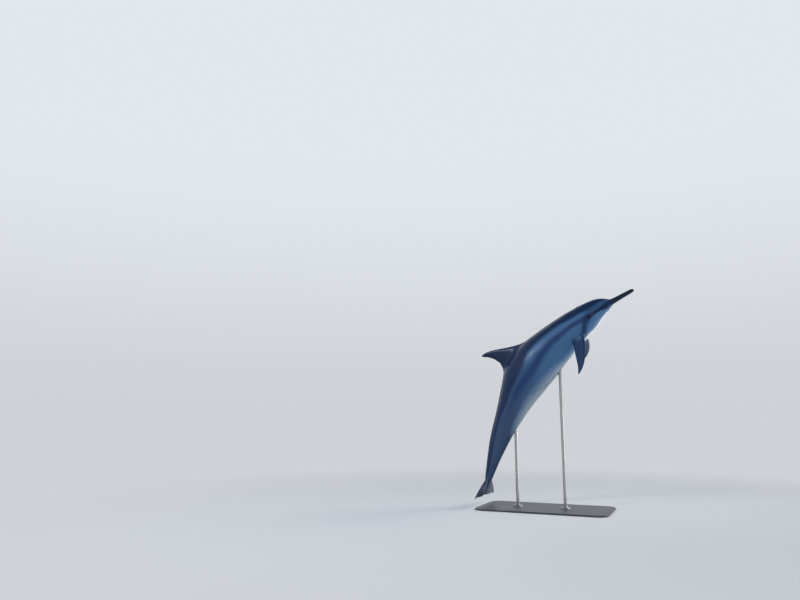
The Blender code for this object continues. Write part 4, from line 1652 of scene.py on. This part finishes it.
# ---------------------------------------------------------------- the stand
@dataclass(frozen=True)
class PaintFinish:
    """Satin graphite paint, with the faint texture of a sprayed coat."""

    colour: tuple = shade(58, 62, 68)
    roughness: float = 0.42
    grain: tuple = (900.0, 2.0)             # noises: lumps in a metre, and octaves
    grain_roughness: float = 0.12
    dust: tuple = (6.0, 4.0)
    dust_roughness: float = 0.10
    dust_tint: float = 0.3
    relief: tuple = (0.00015, 0.5)          # metres, and share that is used

    def material(self) -> bpy.types.Material:
        """Mix the paint.

        Returns:
            Its material.
        """
        g = Graph.material("stand_paint")
        place = g.place()
        grain = g.noise(place, *self.grain)
        dust = g.noise(place, *self.dust)
        rough = g.about(self.roughness, (grain, self.grain_roughness), (dust, self.dust_roughness))
        colour = g.tint(self.colour, g.about(1.0, (dust, self.dust_tint)))
        return g.finish(Base_Color=colour, Roughness=rough, Normal=g.bump(grain, *self.relief))


@dataclass(frozen=True)
class SteelFinish:
    """Stainless steel, brushed round its turned surfaces."""

    name: str
    colour: tuple = (0.42, 0.42, 0.42)
    roughness: float = 0.30
    stretch: tuple = (60.0, 60.0, 1400.0)   # lines in a metre
    lines: tuple = (1.0, 3.0, 0.7)          # noises: lumps, octaves, and how strong the fine are
    line_roughness: float = 0.14
    line_tint: float = 0.10
    smears: tuple = (18.0, 3.0)
    smear_roughness: float = 0.10
    relief: tuple = (0.00004, 0.6)          # metres, and share that is used

    def material(self) -> bpy.types.Material:
        """Brush the steel.

        Returns:
            Its material.
        """
        g = Graph.material(self.name)
        lines = g.noise(g.turned(g.place(), scale=self.stretch), *self.lines)
        smears = g.noise(g.place(), *self.smears)
        rough = g.about(self.roughness, (lines, self.line_roughness),
                        (smears, self.smear_roughness))
        colour = g.tint(self.colour, g.about(1.0, (lines, self.line_tint)))
        return g.finish(Base_Color=colour, Metallic=1.0, Roughness=rough,
                        Normal=g.bump(lines, *self.relief))


@dataclass
class Stand:
    """The base, its two rods and their collars, with screws and seals added."""

    rods: tuple = ("front", "rear")
    screws: int = 4
    screw_circle: float = 0.75      # of the collar's radius
    head_radius: float = 0.0042
    head_height: float = 0.0026
    head_sides: int = 24
    head_steps: tuple = ((0.45, 1.0), (0.85, 0.90), (1.0, 0.72))    # heights and radii, as shares
    key_radius: float = 0.0020
    key_depth: float = 0.0016
    key_sides: int = 6
    rim_height: float = 0.006
    seal_radius: float = 0.0030
    seal_sides: int = 16
    seal_steps: int = 48

    def dress(self) -> None:
        """Give the stand's solids their finishes."""
        paint = PaintFinish().material()
        steel = SteelFinish("stand_steel").material()
        for name, node in frame["nodes"].items():
            if name.startswith("stand_"):
                node.data.materials.clear()
                node.data.materials.append(paint if name == "stand_base" else steel)

    def screw_heads(self, rod: str) -> bpy.types.Object:
        """Button heads with hexagon sockets round one collar.

        Args:
            rod: the rod whose collar they hold.
        Returns:
            The joined screws.
        """
        low, high = (Vector(corner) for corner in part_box("stand_flange_" + rod))
        middle = (low + high) / 2.0
        radius = (high.x - low.x) / 2.0 * self.screw_circle
        bm = bmesh.new()
        for number in range(self.screws):
            turn = math.tau * (number + 0.5) / self.screws
            foot = Vector((middle.x + radius * math.cos(turn), middle.y + radius * math.sin(turn),
                           low.z + self.rim_height))
            self.screw(bm, foot)
        return finished("stand_screws_" + rod, bm, SteelFinish("screw_steel_" + rod).material(),
                        "stand_steel")

    def screw(self, bm: bmesh.types.BMesh, foot: Vector) -> None:
        """Add one button head with a hexagon socket.

        Args:
            bm: the mesh that gets it.
            foot: the middle of its underside.
        """
        made = bmesh.ops.create_circle(bm, cap_ends=True, segments=self.head_sides,
                                       radius=self.head_radius, matrix=Matrix.Translation(foot))
        face = made["verts"][0].link_faces[0]
        for rise, shrink in self.head_steps:
            face = self.lift(bm, face, foot, foot.z + self.head_height * rise,
                             self.head_radius * shrink)
        for depth in (0.0, self.key_depth):
            face = self.lift(bm, face, foot, foot.z + self.head_height - depth, self.key_radius,
                             self.key_sides)

    @staticmethod
    def lift(bm: bmesh.types.BMesh, face: bmesh.types.BMFace, foot: Vector, height: float,
             radius: float, sides: int = 0) -> bmesh.types.BMFace:
        """Extrude a face to a height, and give it a round or a many-sided outline.

        Args:
            bm: the face's mesh.
            face: the face.
            foot: a point under the outline's middle.
            height: the new face's height.
            radius: the outline's radius, or its flats' distance from the middle.
            sides: how many flats it has, or 0 for a circle.
        Returns:
            The new face.
        """
        top, = pushed(bm, [face])
        for vert in top.verts:
            turn = math.atan2(vert.co.y - foot.y, vert.co.x - foot.x)
            reach = radius
            if sides:
                reach /= math.cos(turn % (math.tau / sides) - math.pi / sides)
            vert.co = (foot.x + reach * math.cos(turn), foot.y + reach * math.sin(turn), height)
        return top

    def seal(self, rod: str, skin: BVHTree) -> bpy.types.Object:
        """A soft ring where a rod enters the belly, which follows the skin.

        Args:
            rod: the rod's name.
            skin: the skin, to find its height over each point of the ring.
        Returns:
            The ring.
        """
        low, high = (Vector(corner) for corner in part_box("stand_rod_" + rod))
        middle = (low + high) / 2.0
        radius = (high.x - low.x) / 2.0
        bm = bmesh.new()
        turn = Matrix.Translation((middle.x + radius, middle.y, 0.0)) @ \
            Matrix.Rotation(math.pi / 2.0, 4, "X")
        ring = bmesh.ops.create_circle(bm, segments=self.seal_sides, radius=self.seal_radius,
                                       matrix=turn)["verts"]
        edges = list({edge for vert in ring for edge in vert.link_edges})
        bmesh.ops.spin(bm, geom=ring + edges, cent=(middle.x, middle.y, 0.0), axis=(0, 0, 1),
                       angle=math.tau, steps=self.seal_steps, use_merge=True)
        bmesh.ops.remove_doubles(bm, verts=bm.verts[:], dist=1e-6)
        for vert in bm.verts:
            hit = skin.ray_cast(Vector((vert.co.x, vert.co.y, low.z)), Vector((0.0, 0.0, 1.0)))[0]
            vert.co.z += hit.z
        return finished("stand_seal_" + rod, bm, bpy.data.materials["stand_paint"], "stand_paint")

    def build(self, skin: bpy.types.Object) -> list:
        """Dress the stand and add its small pieces.

        Args:
            skin: the dolphin's skin.
        Returns:
            The added pieces.
        """
        self.dress()
        tree = BVHTree.FromObject(skin, bpy.context.evaluated_depsgraph_get())
        return [piece for rod in self.rods
                for piece in (self.screw_heads(rod), self.seal(rod, tree))]


# ---------------------------------------------------------------- the studio
@dataclass(frozen=True)
class Softbox:
    """A square lamp: where it stands, what it lights, and how big and strong it is."""

    name: str
    place: tuple
    size: float
    power: float
    colour: tuple = (1.0, 1.0, 1.0)
    spread: float = 180.0   # of its light, in degrees
    aim: tuple = (0.035, 0.0, 1.008)


@dataclass
class Studio:
    """A pale floor, soft lamps, a pale room and the camera."""

    camera_place: tuple = (1.0685, -4.8418, 0.6297)
    camera_pitch: float = 10.04
    camera_turn: float = 24.3
    lens: float = 30.0
    floor_radius: float = 60.0
    floor_sides: int = 96
    floor_roughness: float = 0.9
    clip_end: float = 240.0     # of the camera
    pale: tuple = (0.80, 0.81, 0.825)
    horizon: tuple = (0.62, 0.645, 0.68)
    sky: tuple = (0.76, 0.80, 0.85)
    ceiling: tuple = (0.20, 0.23, 0.28)
    sky_height: float = 0.38                    # sines of the heights where the sky is whole,
    ceiling_heights: tuple = (0.55, 0.90)       # and where it turns to the ceiling
    far: tuple = (0.3, 4.4)                     # where the floor turns to the horizon's tone
    softboxes: tuple = (
        Softbox("key", (2.9, 2.6, 3.3), 2.4, 15.0, (1.0, 0.97, 0.92), 70.0),
        Softbox("fill", (-2.6, -4.4, 3.4), 0.9, 60.0, (0.92, 0.96, 1.0)),
        Softbox("rim", (4.4, 1.9, 0.25), 0.5, 8.0, (1.0, 0.98, 0.95), 60.0, (0.3, 0.0, 1.35)),
    )

    def build(self) -> None:
        """Set up the floor, the lamps, the room and the camera."""
        self.floor()
        for softbox in self.softboxes:
            self.lamp(softbox)
        self.room()
        bpy.context.scene.view_settings.view_transform = "Standard"
        self.camera()

    def room(self) -> None:
        """Light the room evenly, with a horizon as pale as the far floor."""
        world = bpy.data.worlds.new("room")
        g = Graph(world, "Background")
        rise = g.node("ShaderNodeSeparateXYZ", {}, {0: g.node("ShaderNodeTexCoord", {}, {}, 0)}, 2)
        colour = g.mix(self.horizon, self.sky, rise.rise(0.0, self.sky_height))
        g.finish(Color=g.mix(colour, self.ceiling, rise.rise(*self.ceiling_heights)), Strength=1.0)
        bpy.context.scene.world = world

    def floor(self) -> None:
        """Lay the floor."""
        bm = bmesh.new()
        bmesh.ops.create_circle(bm, cap_ends=True, segments=self.floor_sides,
                                radius=self.floor_radius)
        mesh = mesh_from("floor", bm)
        g = Graph.material("floor")
        away = g.node("ShaderNodeVectorMath", {"operation": "LENGTH"}, {0: g.place()}, 1)
        far = away.rise(*self.far)
        black = (0.0, 0.0, 0.0)
        mesh.materials.append(g.finish(Base_Color=g.mix(self.pale, black, far),
                                       Roughness=self.floor_roughness, Specular_IOR_Level=0.0,
                                       Emission_Color=g.mix(black, self.horizon, far),
                                       Emission_Strength=1.0))
        floor = placed("floor", mesh)

    def lamp(self, softbox: Softbox) -> None:
        """Hang a lamp.

        Args:
            softbox: the lamp's sizes, and what it faces.
        """
        data = bpy.data.lights.new(softbox.name, "AREA")
        data.shape = "SQUARE"
        data.size = softbox.size
        data.energy = softbox.power
        data.color = softbox.colour
        data.spread = math.radians(softbox.spread)
        lamp = placed(softbox.name, data)
        lamp.visible_camera = False
        lamp.location = softbox.place
        way = Vector(softbox.aim) - Vector(softbox.place)
        lamp.rotation_euler = way.to_track_quat("-Z", "Y").to_euler()

    def camera(self) -> None:
        """Stand the camera low in front, looking slightly up."""
        data = bpy.data.cameras.new("camera")
        data.lens = self.lens
        data.clip_end = self.clip_end
        camera = placed("camera", data)
        camera.location = self.camera_place
        camera.rotation_euler = (math.radians(90.0 + self.camera_pitch), 0.0,
                                 math.radians(self.camera_turn))
        bpy.context.scene.camera = camera


def main() -> None:
    """Build the dolphin, its stand and the studio."""
    logging.basicConfig(level=logging.INFO, format="%(name)s: %(message)s")
    skin = Skin().build()
    LOG.info("%s: %d faces", skin.name, len(skin.data.polygons))
    for side in Side:
        eye = Eye(side).build()
        LOG.info("%s: %d faces", eye.name, len(eye.data.polygons))
    for piece in Stand().build(skin):
        LOG.info("%s: %d faces", piece.name, len(piece.data.polygons))
    Studio().build()


if __name__ == "__main__":
    main()
